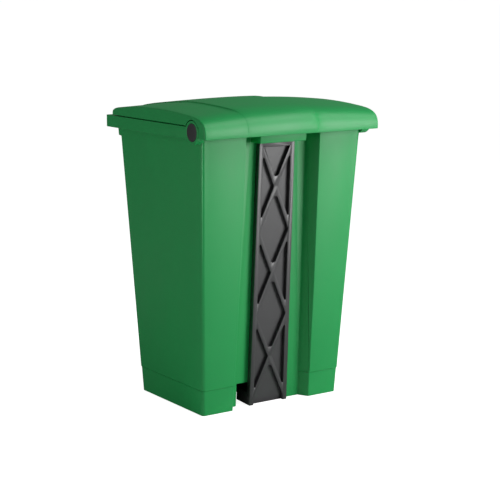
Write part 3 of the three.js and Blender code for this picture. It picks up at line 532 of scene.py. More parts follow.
def turned_solid():
    """A profile of radius and height, from the foot up, turned round the Z axis."""
    tree, given = new_tree("turned_solid", {"Steps": "Int"})
    size = add(tree, "GeometryNodeAttributeDomainSize", {"Geometry": given["Geometry"]})["Point Count"]
    rise = add(tree, "ShaderNodeMath", {0: size, 1: 1.0}, operation="SUBTRACT")[0]
    columns = add(tree, "ShaderNodeMath", {0: given["Steps"], 1: 1.0}, operation="ADD")[0]
    grid = add(
        tree, "GeometryNodeMeshGrid",
        {"Size X": given["Steps"], "Size Y": rise, "Vertices X": columns, "Vertices Y": size},
    )["Mesh"]
    here = add(tree, "GeometryNodeInputPosition")[0]
    cell = add(tree, "ShaderNodeSeparateXYZ", {0: here})
    row = add(tree, "ShaderNodeMath", {0: rise, 1: 0.5, 2: cell["Y"]}, operation="MULTIPLY_ADD")[0]
    row = add(tree, "ShaderNodeMath", {0: row}, operation="ROUND")[0]
    profile = add(
        tree, "GeometryNodeSampleIndex",
        {"Geometry": given["Geometry"], "Value": here, "Index": row}, data_type="FLOAT_VECTOR",
    )[0]
    point = add(tree, "ShaderNodeSeparateXYZ", {0: profile})
    part = add(tree, "ShaderNodeMath", {0: cell["X"], 1: given["Steps"]}, operation="DIVIDE")[0]
    angle = add(tree, "ShaderNodeMath", {0: part, 1: 2 * math.pi}, operation="MULTIPLY")[0]
    cos = add(tree, "ShaderNodeMath", {0: angle}, operation="COSINE")[0]
    sin = add(tree, "ShaderNodeMath", {0: angle}, operation="SINE")[0]
    x = add(tree, "ShaderNodeMath", {0: point["X"], 1: cos}, operation="MULTIPLY")[0]
    y = add(tree, "ShaderNodeMath", {0: point["X"], 1: sin}, operation="MULTIPLY")[0]
    place = add(tree, "ShaderNodeCombineXYZ", {"X": x, "Y": y, "Z": point["Z"]})[0]
    turned = add(tree, "GeometryNodeSetPosition", {"Geometry": grid, "Position": place})[0]
    merged = add(tree, "GeometryNodeMergeByDistance", {"Geometry": turned, "Distance": MERGED_WITHIN})[0]
    add(tree, "NodeGroupOutput", {"Geometry": merged})
    return tree


def turned_at_places(slotted):
    """The turned solid, with a cross recess if wanted, put at every tagged place."""
    sizes = {"Steps": "Int", "Material": "Material"}
    if slotted:
        sizes.update(dict.fromkeys(SCREW_RECESS, "Float"))
    tree, given = new_tree("slotted_screws" if slotted else "turned_pieces", sizes)
    read = "GeometryNodeInputNamedAttribute"
    is_place = add(tree, read, {"Name": "is_place"}, data_type="FLOAT")["Attribute"]
    split = add(
        tree, "GeometryNodeSeparateGeometry", {"Geometry": given["Geometry"], "Selection": is_place}
    )
    solid = add(
        tree, "GeometryNodeGroup", {"Geometry": split["Inverted"], "Steps": given["Steps"]},
        node_tree=group("turned_solid"),
    )[0]
    if slotted:
        down = add(tree, "ShaderNodeCombineXYZ", {"Z": given["Head"]})[0]
        deep = add(tree, "ShaderNodeMath", {0: given["Recess depth"], 1: 2.0}, operation="MULTIPLY")[0]
        bars = []
        for one, other in (("Recess reach", "Recess width"), ("Recess width", "Recess reach")):
            size = add(tree, "ShaderNodeCombineXYZ", {"X": given[one], "Y": given[other], "Z": deep})[0]
            bar = add(tree, "GeometryNodeMeshCube", {"Size": size})["Mesh"]
            bars.append(add(tree, "GeometryNodeTransform", {"Geometry": bar, "Translation": down})[0])
        solid = add(
            tree, "GeometryNodeMeshBoolean", {"Mesh 1": solid, "Mesh 2": bars},
            operation="DIFFERENCE", solver="MANIFOLD",
        )["Mesh"]
    turn = add(tree, read, {"Name": "turn"}, data_type="FLOAT_VECTOR")["Attribute"]
    rotation = add(tree, "FunctionNodeEulerToRotation", {0: turn})[0]
    placed = add(
        tree, "GeometryNodeInstanceOnPoints",
        {"Points": split["Selection"], "Instance": solid, "Rotation": rotation},
    )[0]
    return end_tree(tree, given, placed)


LID_CUTS = ("ear_notch_left", "ear_notch_right", "bore_left", "bore_right")
LID_ADDITIONS = ("lug_left", "lug_right", "cam", "rib_left", "rib_right")
LID_PARTS = ("outer", "inner", "room", *LID_ADDITIONS, *LID_CUTS)
LID_SIZES = (
    "Rear", "Front", "Half width", "Bumper X", "Bumper Y", "Boss radius", "Boss foot",
    "Stem radius", "Stem foot", "Stem end", "Reach",
)


def lid_tree():
    """The lid: its shell between two swept sections, what stands inside it, and its cuts."""
    tree, given = new_tree("lid_shell", {**dict.fromkeys(LID_SIZES, "Float"), "Material": "Material"})
    solids = {
        name: add(
            tree, "GeometryNodeGroup",
            {
                "Geometry": given["Geometry"], "Part": float(number), "Rear": given["Rear"],
                "Front": given["Front"], "Half width": given["Half width"],
            },
            node_tree=group("swept_section"),
        )[0]
        for number, name in enumerate(LID_PARTS)
    }
    left = add(tree, "ShaderNodeMath", {0: given["Bumper X"], 1: -1.0}, operation="MULTIPLY")[0]
    apart = add(tree, "ShaderNodeMath", {0: given["Bumper X"], 1: 2.0}, operation="MULTIPLY")[0]
    step = add(tree, "ShaderNodeCombineXYZ", {"X": apart})[0]

    def posts(radius, low, high):
        middle = add(tree, "ShaderNodeMath", {0: low, 1: high}, operation="ADD")[0]
        middle = add(tree, "ShaderNodeMath", {0: middle, 1: 0.5}, operation="MULTIPLY")[0]
        depth = add(tree, "ShaderNodeMath", {0: high, 1: low}, operation="SUBTRACT")[0]
        start = add(tree, "ShaderNodeCombineXYZ", {"X": left, "Y": given["Bumper Y"], "Z": middle})[0]
        spots = add(
            tree, "GeometryNodeMeshLine", {"Count": 2, "Start Location": start, "Offset": step}
        )[0]
        post = add(
            tree, "GeometryNodeMeshCylinder", {"Vertices": POST_SIDES, "Radius": radius, "Depth": depth}
        )[0]
        placed = add(tree, "GeometryNodeInstanceOnPoints", {"Points": spots, "Instance": post})[0]
        return add(tree, "GeometryNodeRealizeInstances", {"Geometry": placed})[0]

    solids["bosses"] = posts(given["Boss radius"], given["Boss foot"], given["Reach"])
    solids["stems"] = posts(given["Stem radius"], given["Stem foot"], given["Stem end"])
    steps = (
        ("inside", "UNION", None, (*LID_ADDITIONS, "bosses")),
        ("trimmed", "INTERSECT", None, ("inside", "room")),
        ("shell", "DIFFERENCE", "outer", ("inner",)),
        ("whole", "UNION", None, ("shell", "trimmed")),
        ("cut", "DIFFERENCE", "whole", (*LID_CUTS, "stems")),
    )
    for name, operation, first, others in steps:
        meshes = {"Mesh 2": [solids[other] for other in others]}
        if first:
            meshes["Mesh 1"] = solids[first]
        solids[name] = add(
            tree, "GeometryNodeMeshBoolean", meshes, operation=operation, solver="MANIFOLD"
        )["Mesh"]
    return end_tree(tree, given, solids["cut"])


def braced_plate():
    """The lift plate: a slab with filleted pockets, its foot and its keeper, leant as the channel."""
    parts = {"Slab": 0, "Pocket": 1, "Foot": 2, "Keeper": 3}
    sizes = {f"{part} {end}": "Float" for part in parts for end in ("low", "high")}
    sizes.update({"Turn": "Vector", "Place": "Vector", "Material": "Material"})
    tree, given = new_tree("braced_plate", sizes)
    read = "GeometryNodeInputNamedAttribute"
    part = add(tree, read, {"Name": "part"}, data_type="FLOAT")["Attribute"]
    fillet = add(tree, read, {"Name": "fillet"}, data_type="FLOAT")["Attribute"]
    solids = {}
    for name, number in parts.items():
        is_own = add(
            tree, "FunctionNodeCompare", {0: part, 1: float(number), "Epsilon": 0.1},
            data_type="FLOAT", operation="EQUAL",
        )[0]
        own = add(
            tree, "GeometryNodeSeparateGeometry", {"Geometry": given["Geometry"], "Selection": is_own}
        )["Selection"]
        outline = add(tree, "GeometryNodeMeshToCurve", {"Mesh": own})[0]
        if name == "Pocket":
            outline = add(
                tree, "GeometryNodeFilletCurve",
                {"Curve": outline, "Radius": fillet, "Limit Radius": True, "Count": 6}, mode="POLY",
            )[0]
        solids[name] = add(
            tree, "GeometryNodeGroup",
            {"Geometry": outline, "Low": given[f"{name} low"], "High": given[f"{name} high"]},
            node_tree=group("solid_from_outline"),
        )[0]
    pocketed = add(
        tree, "GeometryNodeMeshBoolean", {"Mesh 1": solids["Slab"], "Mesh 2": [solids["Pocket"]]},
        operation="DIFFERENCE", solver="MANIFOLD",
    )["Mesh"]
    whole = add(
        tree, "GeometryNodeMeshBoolean", {"Mesh 2": [pocketed, solids["Foot"], solids["Keeper"]]},
        operation="UNION", solver="MANIFOLD",
    )["Mesh"]
    rotation = add(tree, "FunctionNodeEulerToRotation", {0: given["Turn"]})[0]
    leant = add(
        tree, "GeometryNodeTransform",
        {"Geometry": whole, "Rotation": rotation, "Translation": given["Place"]},
    )[0]
    return end_tree(tree, given, leant)


def ribbed_pad():
    """The tread pad: a filleted slab with even grooves across it, turned as the pedal."""
    sizes = {
        "Low": "Float", "High": "Float", "Corner": "Float", "Grooves": "Int", "First groove": "Vector",
        "Groove step": "Vector", "Groove size": "Vector", "Turn": "Vector", "Place": "Vector",
        "Material": "Material",
    }
    tree, given = new_tree("ribbed_pad", sizes)
    outline = add(tree, "GeometryNodeMeshToCurve", {"Mesh": given["Geometry"]})[0]
    outline = add(
        tree, "GeometryNodeFilletCurve",
        {"Curve": outline, "Radius": given["Corner"], "Limit Radius": True, "Count": 8}, mode="POLY",
    )[0]
    slab = add(
        tree, "GeometryNodeGroup", {"Geometry": outline, "Low": given["Low"], "High": given["High"]},
        node_tree=group("solid_from_outline"),
    )[0]
    line = add(
        tree, "GeometryNodeMeshLine",
        {
            "Count": given["Grooves"], "Start Location": given["First groove"],
            "Offset": given["Groove step"],
        },
    )[0]
    bar = add(tree, "GeometryNodeMeshCube", {"Size": given["Groove size"]})["Mesh"]
    bars = add(tree, "GeometryNodeInstanceOnPoints", {"Points": line, "Instance": bar})[0]
    bars = add(tree, "GeometryNodeRealizeInstances", {"Geometry": bars})[0]
    grooved = add(
        tree, "GeometryNodeMeshBoolean", {"Mesh 1": slab, "Mesh 2": [bars]},
        operation="DIFFERENCE", solver="MANIFOLD",
    )["Mesh"]
    rotation = add(tree, "FunctionNodeEulerToRotation", {0: given["Turn"]})[0]
    turned = add(
        tree, "GeometryNodeTransform",
        {"Geometry": grooved, "Rotation": rotation, "Translation": given["Place"]},
    )[0]
    return end_tree(tree, given, turned)


GROUPS = {}


def group(name):
    """One of the node groups that the trees share, made once."""
    if name not in GROUPS:
        GROUPS[name] = {
            "swept_section": swept_section,
            "solid_from_outline": solid_from_outline,
            "turned_solid": turned_solid,
        }[name]()
    return GROUPS[name]


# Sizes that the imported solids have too, in millimetres

OVERRUN = 20.0
RIM_TOP = 571.0
HALF_WIDTH = 203.6
LID_REAR = 200.0
LID_FRONT = -149.0
SKIRT_EDGE = 550.9
FRONT_EDGE = 572.5
CREST_Y = 25.0
CREST_Z = 597.6
CREST_RADIUS = 1335.0
SHOULDER_REACH = 50.0
SHOULDER_FOOT = 558.0
SHOULDER_SHARES = (0.79, 0.6)
NOSE_REACH = 39.0
NOSE_FOOT = 577.5
NOSE_SHARES = (0.6, 0.7)
PANEL_RAISE_AT_REAR = 1.4
PANEL_RAISE_AT_FRONT = 1.6
PANEL_LEFT = (-54.0, -10.0)
PANEL_RIGHT = (106.0, 140.0)
PANEL_FADE = 0.8
FADE_SPAN = (138.0, 178.0)
LID_RIB_X = 64.0
LID_RIB_WIDTH = 2.4
LID_RIB_ENDS = (120.0, -140.0)
LID_RIB_FOOT = 578.0
HINGE_Y, HINGE_Z = 153.7, 561.5
EAR_NOTCH_RADIUS = 24.0
EAR_NOTCH_DEPTH = 3.5
LUG_RADIUS = 12.0
LUG_SPAN = (175.08, 185.08)
BORE_RADIUS = 6.8
CAM_HALF = 30.0
CAM_ARM = 17.6
CAM_DROP = 22.0
CAM_FRONT, CAM_REAR, CAM_REAR_RISE = 2.4, 3.0, 6.5
LID_SWING = math.radians(60)
BUMPER_X, BUMPER_Y = 194.4, -112.0
BUMPER_SEAT = 575.6
BOSS_RADIUS = 5.0
STEM_RADIUS, STEM_END = 2.3, 581.6
CHANNEL_FACE = (100.1, 132.1)
LEAN = math.atan2(CHANNEL_FACE[1] - CHANNEL_FACE[0], RIM_TOP)
PLATE_HALF = (45.5, 41.75)
PLATE_ENDS = (1.0, 541.32)
PLATE_BACK = 0.6
PLATE_THICKNESS = 11.0
FOOT_JOIN = 1.35
PLATE_HEAD_BAND = 17.0
CROSS_PITCH = 173.0
FIRST_CROSS = 97.8
CROSS_COUNT = 3
SHELF = (22.73, 25.73)
SHELF_REACH = 36.0
FOOT_WALL = 3.0
KEEPER_REACH = 8.5
KEEPER_DEPTHS = (-6.6, -3.6)
KEEPER_ENDS = (4.0, 18.0)
PEDAL_TURN = math.radians(-5.035)
PEDAL_PLACE = (0.0, -10.4, 27.0)
LEVER_FRONT = -191.39
PAD_HALF = 71.0
PAD_ENDS = (4.0, 52.0)
PAD_HEIGHTS = (4.3, 7.3)
PAD_CORNER = 10.0
GROOVE_HALF = 63.0
AXLE_RADIUS, AXLE_HALF = 4.0, 66.0
PIN_RADIUS, PIN_SPAN = 4.0, (171.78, 196.28)
BUSHING_BORE, BUSHING_RADIUS = 4.3, 6.5
FLANGE_RADIUS, FLANGE_SPAN = 8.5, (173.28, 174.78)
CAP_RADIUS, CAP_FOOT = 17.0, 200.6
CAP_PLUG_RADIUS, CAP_PLUG_FOOT = 9.0, 196.6
SCREW_X, SCREW_YS = 52.0, (-23.4, 2.6)
FOOT_X, FOOT_YS = 134.0, (-86.0, 95.0)
FOOT_RADIUS, FOOT_HEIGHT = 15.0, 3.0

# Sizes of the looks alone, in millimetres, and how many facets their curves have

SLACK = 0.01
BORE_LEAD = 2.0
STEM_LEAD = 5.0
EDGE_SOFTENING = 0.9
ROD_SOFTENING = 0.5
CAP_SOFTENING = 0.7
FOOT_SOFTENING = 0.6
SIDE_FILLET, TIP_FILLET, HEAD_FILLET = 3.0, 1.8, 1.5
EDGE_STEPS = 3
SHOULDER_STEPS, TOP_STEPS, NOSE_STEPS = 22, 18, 14
END_STEPS = 6
BEVEL_STEPS = 5
LEFT_STEPS, PANEL_STEPS, RIGHT_STEPS = 8, 10, 6
LUG_STEPS, BORE_STEPS, NOTCH_STEPS = 24, 36, 72
CAM_STEPS = 18
POST_SIDES = 32
STATION_STEP = 10.0
SCREW_RECESS = {"Recess reach": 4.8, "Recess width": 1.1, "Recess depth": 1.4, "Head": 7.2}
# Half outlines with softened corners, as radius and height from the foot up
SCREW_OUTLINE = [
    (0, 7.2), (2.8, 7.2), (3.6, 7.7), (4, 8.5), (4, 9.8), (1.7, 9.8), (1.7, 26.1), (0, 27.8)
]
BUMPER_OUTLINE = [
    (0, 571.3), (4.2, 571.3), (4.8, 571.5), (5, 572.1), (5, 575.3), (2, 575.3), (2, 581.3), (0, 581.3)
]


def mix(a, b, t):
    return a + (b - a) * t


def share_of(value, start, end):
    """How far a value is from start to end, from 0 to 1."""
    return min(max((value - start) / (end - start), 0.0), 1.0)


def even(a, b, steps):
    return [mix(a, b, i / steps) for i in range(steps + 1)]


def arc(centre, radius, start, end, steps):
    """Points of a round in the side view, angles in degrees from the rear upwards."""
    return [
        (centre[0] + radius * math.cos(math.radians(a)), centre[1] + radius * math.sin(math.radians(a)))
        for a in even(start, end, steps)
    ]


# Lid


def crest_at(y):
    dy = y - CREST_Y
    return CREST_Z - CREST_RADIUS + math.sqrt(CREST_RADIUS**2 - dy * dy)


def crown_at(y, sizes):
    if y > CREST_Y:
        return mix(sizes.crown, sizes.crown_at_rear, share_of(y, CREST_Y, LID_REAR - SHOULDER_REACH))
    return mix(sizes.crown, sizes.crown_at_front, share_of(y, CREST_Y, LID_FRONT))


def bezier(points, steps):
    weights = (1, 3, 3, 1)
    return [
        tuple(
            sum(w * (1 - t) ** (3 - k) * t**k * p[axis] for k, (w, p) in enumerate(zip(weights, points)))
            for axis in (0, 1)
        )
        for t in even(0, 1, steps)
    ]


def lid_outline(soft):
    """The lid's side view, from the rear skirt's edge over the top to the front edge, with
    both edges softened by a radius."""
    rear_top, front_top = LID_REAR - SHOULDER_REACH, LID_FRONT + NOSE_REACH
    along, up = SHOULDER_SHARES
    slope_rear = -(rear_top - CREST_Y) / CREST_RADIUS
    shoulder = bezier(
        [
            (LID_REAR, SHOULDER_FOOT),
            (LID_REAR, mix(SHOULDER_FOOT, crest_at(rear_top), up)),
            (rear_top + SHOULDER_REACH * along, crest_at(rear_top) + SHOULDER_REACH * along * slope_rear),
            (rear_top, crest_at(rear_top)),
        ],
        SHOULDER_STEPS,
    )
    top = [(y, crest_at(y)) for y in even(rear_top, front_top, TOP_STEPS)[1:-1]]
    along, up = NOSE_SHARES
    slope_front = -(front_top - CREST_Y) / CREST_RADIUS
    nose = bezier(
        [
            (front_top, crest_at(front_top)),
            (front_top - NOSE_REACH * along, crest_at(front_top) - NOSE_REACH * along * slope_front),
            (LID_FRONT, mix(NOSE_FOOT, crest_at(front_top), up)),
            (LID_FRONT, NOSE_FOOT),
        ],
        NOSE_STEPS,
    )
    rear_edge, front_edge = [(LID_REAR, SKIRT_EDGE)], [(LID_FRONT, FRONT_EDGE)]
    if soft:
        rear_edge = arc((LID_REAR - soft, SKIRT_EDGE + soft), soft, -90, 0, EDGE_STEPS)
        front_edge = arc((LID_FRONT + soft, FRONT_EDGE + soft), soft, 180, 270, EDGE_STEPS)
    return rear_edge + shoulder + top + nose + front_edge


def lid_ring(sizes, wall, soft, closing):
    """The lid's section: places, outward directions, and each point's part in panel and crown."""
    line = lid_outline(soft)
    flat_top = crest_at(LID_REAR - SHOULDER_REACH)
    places, outs, raises, crowns, fades = [], [], [], [], []
    for i, (y, z) in enumerate(line):
        before, after = line[max(i - 1, 0)], line[min(i + 1, len(line) - 1)]
        out = Vector((after[1] - before[1], before[0] - after[0])).normalized()
        foot = SHOULDER_FOOT if y > 0 else NOSE_FOOT
        is_edge = z < foot - SLACK
        if is_edge:
            out = Vector((math.copysign(1, y), -1 if soft else 0))
        on_top = share_of(z, foot, flat_top)
        at_edge = PANEL_RAISE_AT_REAR if y > 0 else PANEL_RAISE_AT_FRONT
        places.append((0.0, (y - out.x * wall) * MM, (z - out.y * wall) * MM))
        outs.append((0.0, out.x, out.y))
        raises.append(0.0 if is_edge else mix(at_edge * MM, sizes.panel_raise, on_top))
        crowns.append(crown_at(y, sizes) * on_top)
        fades.append(PANEL_FADE * smooth(share_of(y, *FADE_SPAN)))
    line_and_tags = (places, outs, raises, crowns, fades)
    return tuple(own + added for own, added in zip(line_and_tags, plain_ring(closing)))


def plain_ring(outline):
    """A section without crown or panel."""
    nothing = [0.0] * len(outline)
    places = [(0.0, y * MM, z * MM) for y, z in outline]
    return places, [(0.0, 0.0, -1.0)] * len(outline), nothing, nothing, nothing


def smooth(t):
    return t * t * (3 - 2 * t)


def lid_stations(sizes, half, end_round):
    """Where the section is set across the lid: X at the rear and at the front, its share of
    the panel's rise, and how far the round at the lid's two ends draws it in."""
    bevel = sizes.panel_bevel / MM
    left = [x - bevel for x in PANEL_LEFT]
    right = [x + bevel for x in PANEL_RIGHT]
    ends = [(half, 0.0)]
    if end_round:
        ends = [
            (half - end_round * (1 - math.sin(a)), end_round * (1 - math.cos(a)))
            for a in even(math.pi / 2, 0, END_STEPS)
        ]
    flat = ends[-1][0]
    stretches = (
        ((-flat, -flat), left, 0.0, 0.0, LEFT_STEPS),
        (left, PANEL_LEFT, 0.0, 1.0, BEVEL_STEPS),
        (PANEL_LEFT, PANEL_RIGHT, 1.0, 1.0, PANEL_STEPS),
        (PANEL_RIGHT, right, 1.0, 0.0, BEVEL_STEPS),
        (right, (flat, flat), 0.0, 0.0, RIGHT_STEPS),
    )
    run = [(-x, -x, 0.0, inset) for x, inset in ends]
    for start, end, low, high, steps in stretches:
        for t in even(0, 1, steps)[1:]:
            run.append((*(mix(*pair, t) for pair in zip(start, end)), mix(low, high, smooth(t)), 0.0))
    run += [(x, x, 0.0, inset) for x, inset in reversed(ends[:-1])]
    return run


def plain_stations(low, high):
    return [(low, low, 0.0, 0.0), (high, high, 0.0, 0.0)]


def ring_loop(number, ring):
    places, outs, raises, crowns, fades = ring
    tags = {
        "part": float(number), "is_station": 0.0, "ring_place": places, "ring_out": outs,
        "ring_raise": raises, "ring_crown": crowns, "ring_fade": fades,
    }
    return [(y / MM, z / MM, 0.0) for _, y, z in places], True, tags


def station_loop(number, stations):
    tags = {
        "part": float(number), "is_station": 1.0,
        "at_span": [(rear * MM, front * MM, 0.0) for rear, front, _, _ in stations],
        "at_rise": [rise for _, _, rise, _ in stations],
        "at_inset": [inset * MM for _, _, _, inset in stations],
        "at_fade": [share_of(rear, PANEL_LEFT[0], PANEL_RIGHT[0]) for rear, _, _, _ in stations],
    }
    return [(STATION_STEP * i, 0.0, 0.0) for i in range(len(stations))], False, tags


def cam_outline(reach):
    """The cam's side view: an involute about the hinge pin, under a block up to the lid."""
    edge = []
    for angle in even(0, LID_SWING, CAM_STEPS):
        rest = CAM_DROP - CAM_ARM * angle
        edge.append((
            CAM_ARM * math.cos(angle) - rest * math.sin(angle),
            -CAM_ARM * math.sin(angle) - rest * math.cos(angle),
        ))
    forward, up = edge[-1]
    line = [
        (CAM_ARM + CAM_FRONT, reach - HINGE_Z), (CAM_ARM + CAM_FRONT, CAM_FRONT - CAM_DROP), *edge,
        (forward - CAM_REAR, up + CAM_REAR_RISE), (forward - CAM_REAR, reach - HINGE_Z),
    ]
    cos, sin = math.cos(LEAN), math.sin(LEAN)
    return [(HINGE_Y - f * cos + u * sin, HINGE_Z + f * sin + u * cos) for f, u in line]


def lid_mesh(sizes):
    wall = sizes.lid_wall / MM
    reach = CREST_Z + sizes.crown / MM
    pin = (HINGE_Y, HINGE_Z)
    sections = {"cam": (plain_ring(cam_outline(reach)), plain_stations(-CAM_HALF, CAM_HALF))}

    def under_skin(depth, foot):
        closing = [(LID_FRONT + depth, foot), (LID_REAR - depth, foot)]
        return lid_ring(sizes, depth, 0.0, closing), lid_stations(sizes, HALF_WIDTH - depth, 0)

    notch_rear = HINGE_Y + EAR_NOTCH_RADIUS
    outer = lid_ring(sizes, 0.0, EDGE_SOFTENING, [(notch_rear, FRONT_EDGE), (notch_rear, SKIRT_EDGE)])
    sections["outer"] = (outer, lid_stations(sizes, HALF_WIDTH, sizes.lid_end_round / MM))
    sections["inner"] = under_skin(wall, SKIRT_EDGE - OVERRUN)
    sections["room"] = under_skin(wall / 2, HINGE_Z - CAM_DROP - OVERRUN)

    rib_rear, rib_front = LID_RIB_ENDS
    rib_half = LID_RIB_WIDTH / 2
    on_both_sides = {
        "lug": (
            [
                (HINGE_Y + LUG_RADIUS, reach), (HINGE_Y - LUG_RADIUS, reach),
                *arc(pin, LUG_RADIUS, 180, 360, LUG_STEPS),
            ],
            *LUG_SPAN,
        ),
        "rib": (
            [(rib_rear, LID_RIB_FOOT), (rib_rear, reach), (rib_front, reach), (rib_front, LID_RIB_FOOT)],
            LID_RIB_X - rib_half, LID_RIB_X + rib_half,
        ),
        "ear_notch": (
            arc(pin, EAR_NOTCH_RADIUS, 0, 360, NOTCH_STEPS)[:-1],
            HALF_WIDTH - EAR_NOTCH_DEPTH, HALF_WIDTH + OVERRUN,
        ),
        "bore": (
            arc(pin, BORE_RADIUS, 0, 360, BORE_STEPS)[:-1],
            LUG_SPAN[0] - BORE_LEAD, LUG_SPAN[1] + BORE_LEAD,
        ),
    }
    for name, (outline, near, far) in on_both_sides.items():
        ring = plain_ring(outline)
        sections[name + "_left"] = (ring, plain_stations(-far, -near))
        sections[name + "_right"] = (ring, plain_stations(near, far))
    loops = []
    for number, name in enumerate(LID_PARTS):
        ring, stations = sections[name]
        loops += [ring_loop(number, ring), station_loop(number, stations)]
    values = (
        LID_REAR, LID_FRONT, HALF_WIDTH, BUMPER_X, BUMPER_Y, BOSS_RADIUS, BUMPER_SEAT,
        STEM_RADIUS, BUMPER_SEAT - STEM_LEAD, STEM_END, reach,
    )
    given = {name: value * MM for name, value in zip(LID_SIZES, values, strict=True)}
    return merged_mesh(grown(lid_tree(), seed_mesh(loops), "green_plastic", given))


# Lift plate


def half_at(a):
    return mix(*PLATE_HALF, (a - PLATE_ENDS[0]) / (PLATE_ENDS[1] - PLATE_ENDS[0]))


def plate_pockets(sizes):
    """Each pocket's outline as (X, distance up the plate, fillet), from the braces' edges."""
    border, width = sizes.plate_border / MM, sizes.brace_width / MM
    deep = sizes.pocket_fillet / MM
    taper = (PLATE_HALF[0] - PLATE_HALF[1]) / (PLATE_ENDS[1] - PLATE_ENDS[0])
    base = half_at(0) - border

    def inner(a):
        return base - taper * a

    crosses = []
    for i in range(CROSS_COUNT):
        low = FIRST_CROSS + (i - 0.5) * CROSS_PITCH
        low_half, high_half = half_at(low) - border / 2, half_at(low + CROSS_PITCH) - border / 2
        slope = (low_half + high_half) / CROSS_PITCH
        crosses.append((low + low_half / slope, slope, width / 2 * math.hypot(1, slope)))
    pockets = []
    for middle, slope, k in crosses:
        upper = (base - k + middle * slope) / (slope + taper)
        lower = (k + middle * slope - base) / (slope - taper)
        side = [
            (k, middle, SIDE_FILLET), (inner(lower), lower, TIP_FILLET), (inner(upper), upper, TIP_FILLET)
        ]
        pockets += [side, [(-x, a, r) for x, a, r in reversed(side)]]
    head = PLATE_ENDS[1] - PLATE_HEAD_BAND
    for i in range(CROSS_COUNT + 1):
        half = []
        if i == 0:
            half.append((inner(-OVERRUN), -OVERRUN, 0.0))
        else:
            middle, slope, k = crosses[i - 1]
            meet = (base + k + middle * slope) / (slope + taper)
            half += [(0.0, middle + k / slope, deep), (inner(meet), meet, SIDE_FILLET)]
        if i == CROSS_COUNT:
            half.append((inner(head), head, HEAD_FILLET))
        else:
            middle, slope, k = crosses[i]
            meet = (middle * slope - k - base) / (slope - taper)
            half += [(inner(meet), meet, SIDE_FILLET), (0.0, middle - k / slope, deep)]
        pockets.append(half + [(-x, a, r) for x, a, r in reversed(half) if x > 0])
    return pockets


def plate_mesh(sizes):
    low, high = PLATE_ENDS
    foot_half = PLATE_HALF[0]
    shelf_foot, wall_top = SHELF
    slab = [(-half_at(low), low), (half_at(low), low), (half_at(high), high), (-half_at(high), high)]
    inside = foot_half - FOOT_WALL
    foot = [
        (-foot_half, low), (-inside, low), (-inside, shelf_foot), (inside, shelf_foot),
        (inside, low), (foot_half, low), (foot_half, wall_top), (-foot_half, wall_top),
    ]
    tip, root = -foot_half - KEEPER_REACH, -foot_half + FOOT_WALL / 2
    keeper = [
        (tip, KEEPER_ENDS[0]), (root, KEEPER_ENDS[0]), (root, KEEPER_ENDS[1]), (tip, KEEPER_ENDS[1])
    ]
    loops = [
        ([(x, a, 0.0) for x, a in line], True, {"part": part, "fillet": 0.0})
        for line, part in ((slab, 0.0), (foot, 2.0), (keeper, 3.0))
    ]
    loops += [
        ([(x, a, 0.0) for x, a, _ in line], True, {"part": 1.0, "fillet": [r * MM for _, _, r in line]})
        for line in plate_pockets(sizes)
    ]
    front = PLATE_BACK + PLATE_THICKNESS
    heights = {
        "Slab": (-front, -PLATE_BACK), "Pocket": (-front - OVERRUN, sizes.pocket_depth / MM - front),
        "Foot": (-FOOT_JOIN, SHELF_REACH), "Keeper": (-KEEPER_DEPTHS[1], -KEEPER_DEPTHS[0]),
    }
    given = {"Turn": (math.pi / 2 - LEAN, 0.0, 0.0), "Place": (0.0, CHANNEL_FACE[0] * MM, 0.0)}
    for name, (bottom, top) in heights.items():
        given[f"{name} low"], given[f"{name} high"] = bottom * MM, top * MM
    mesh = grown(braced_plate(), seed_mesh(loops), "black_plastic", given)
    return merged_mesh(mesh, sizes.plate_round)


# Small pieces


def turned_mesh(slot, profile, places, turns, looped=False, recess=None):
    """A turned piece at every place: profile as (radius, height) in mm from the foot up."""
    _, sizes = settings()
    line = [(r, 0.0, h) for r, h in profile]
    if looped:
        line.append(line[0])
    loops = [(line, False, {"is_place": 0.0, "turn": (0.0, 0.0, 0.0)})]
    loops += [([place], False, {"is_place": 1.0, "turn": turn}) for place, turn in zip(places, turns)]
    given = {"Steps": sizes.turn_steps, **{key: value * MM for key, value in (recess or {}).items()}}
    return merged_mesh(grown(turned_at_places(bool(recess)), seed_mesh(loops), slot, given))


def rod(radius, low, high):
    return [(0, low), (radius, low), (radius, high), (0, high)]


def softened(profile, radius):
    """The profile with every corner off the axis that turns outwards rounded."""
    line = [profile[0]]
    for before, here, after in zip(profile, profile[1:], profile[2:]):
        a = (Vector(before) - Vector(here)).normalized()
        b = (Vector(after) - Vector(here)).normalized()
        if a.cross(b) >= 0:
            line.append(here)
            continue
        start, end = Vector(here) + a * radius, Vector(here) + b * radius
        for t in even(0, 1, EDGE_STEPS):
            line.append(tuple(start * (1 - t) ** 2 + Vector(here) * 2 * t * (1 - t) + end * t**2))
    line.append(profile[-1])
    return line


TURN_RIGHT, TURN_LEFT, UPRIGHT = (0.0, math.pi / 2, 0.0), (0.0, -math.pi / 2, 0.0), (0.0, 0.0, 0.0)


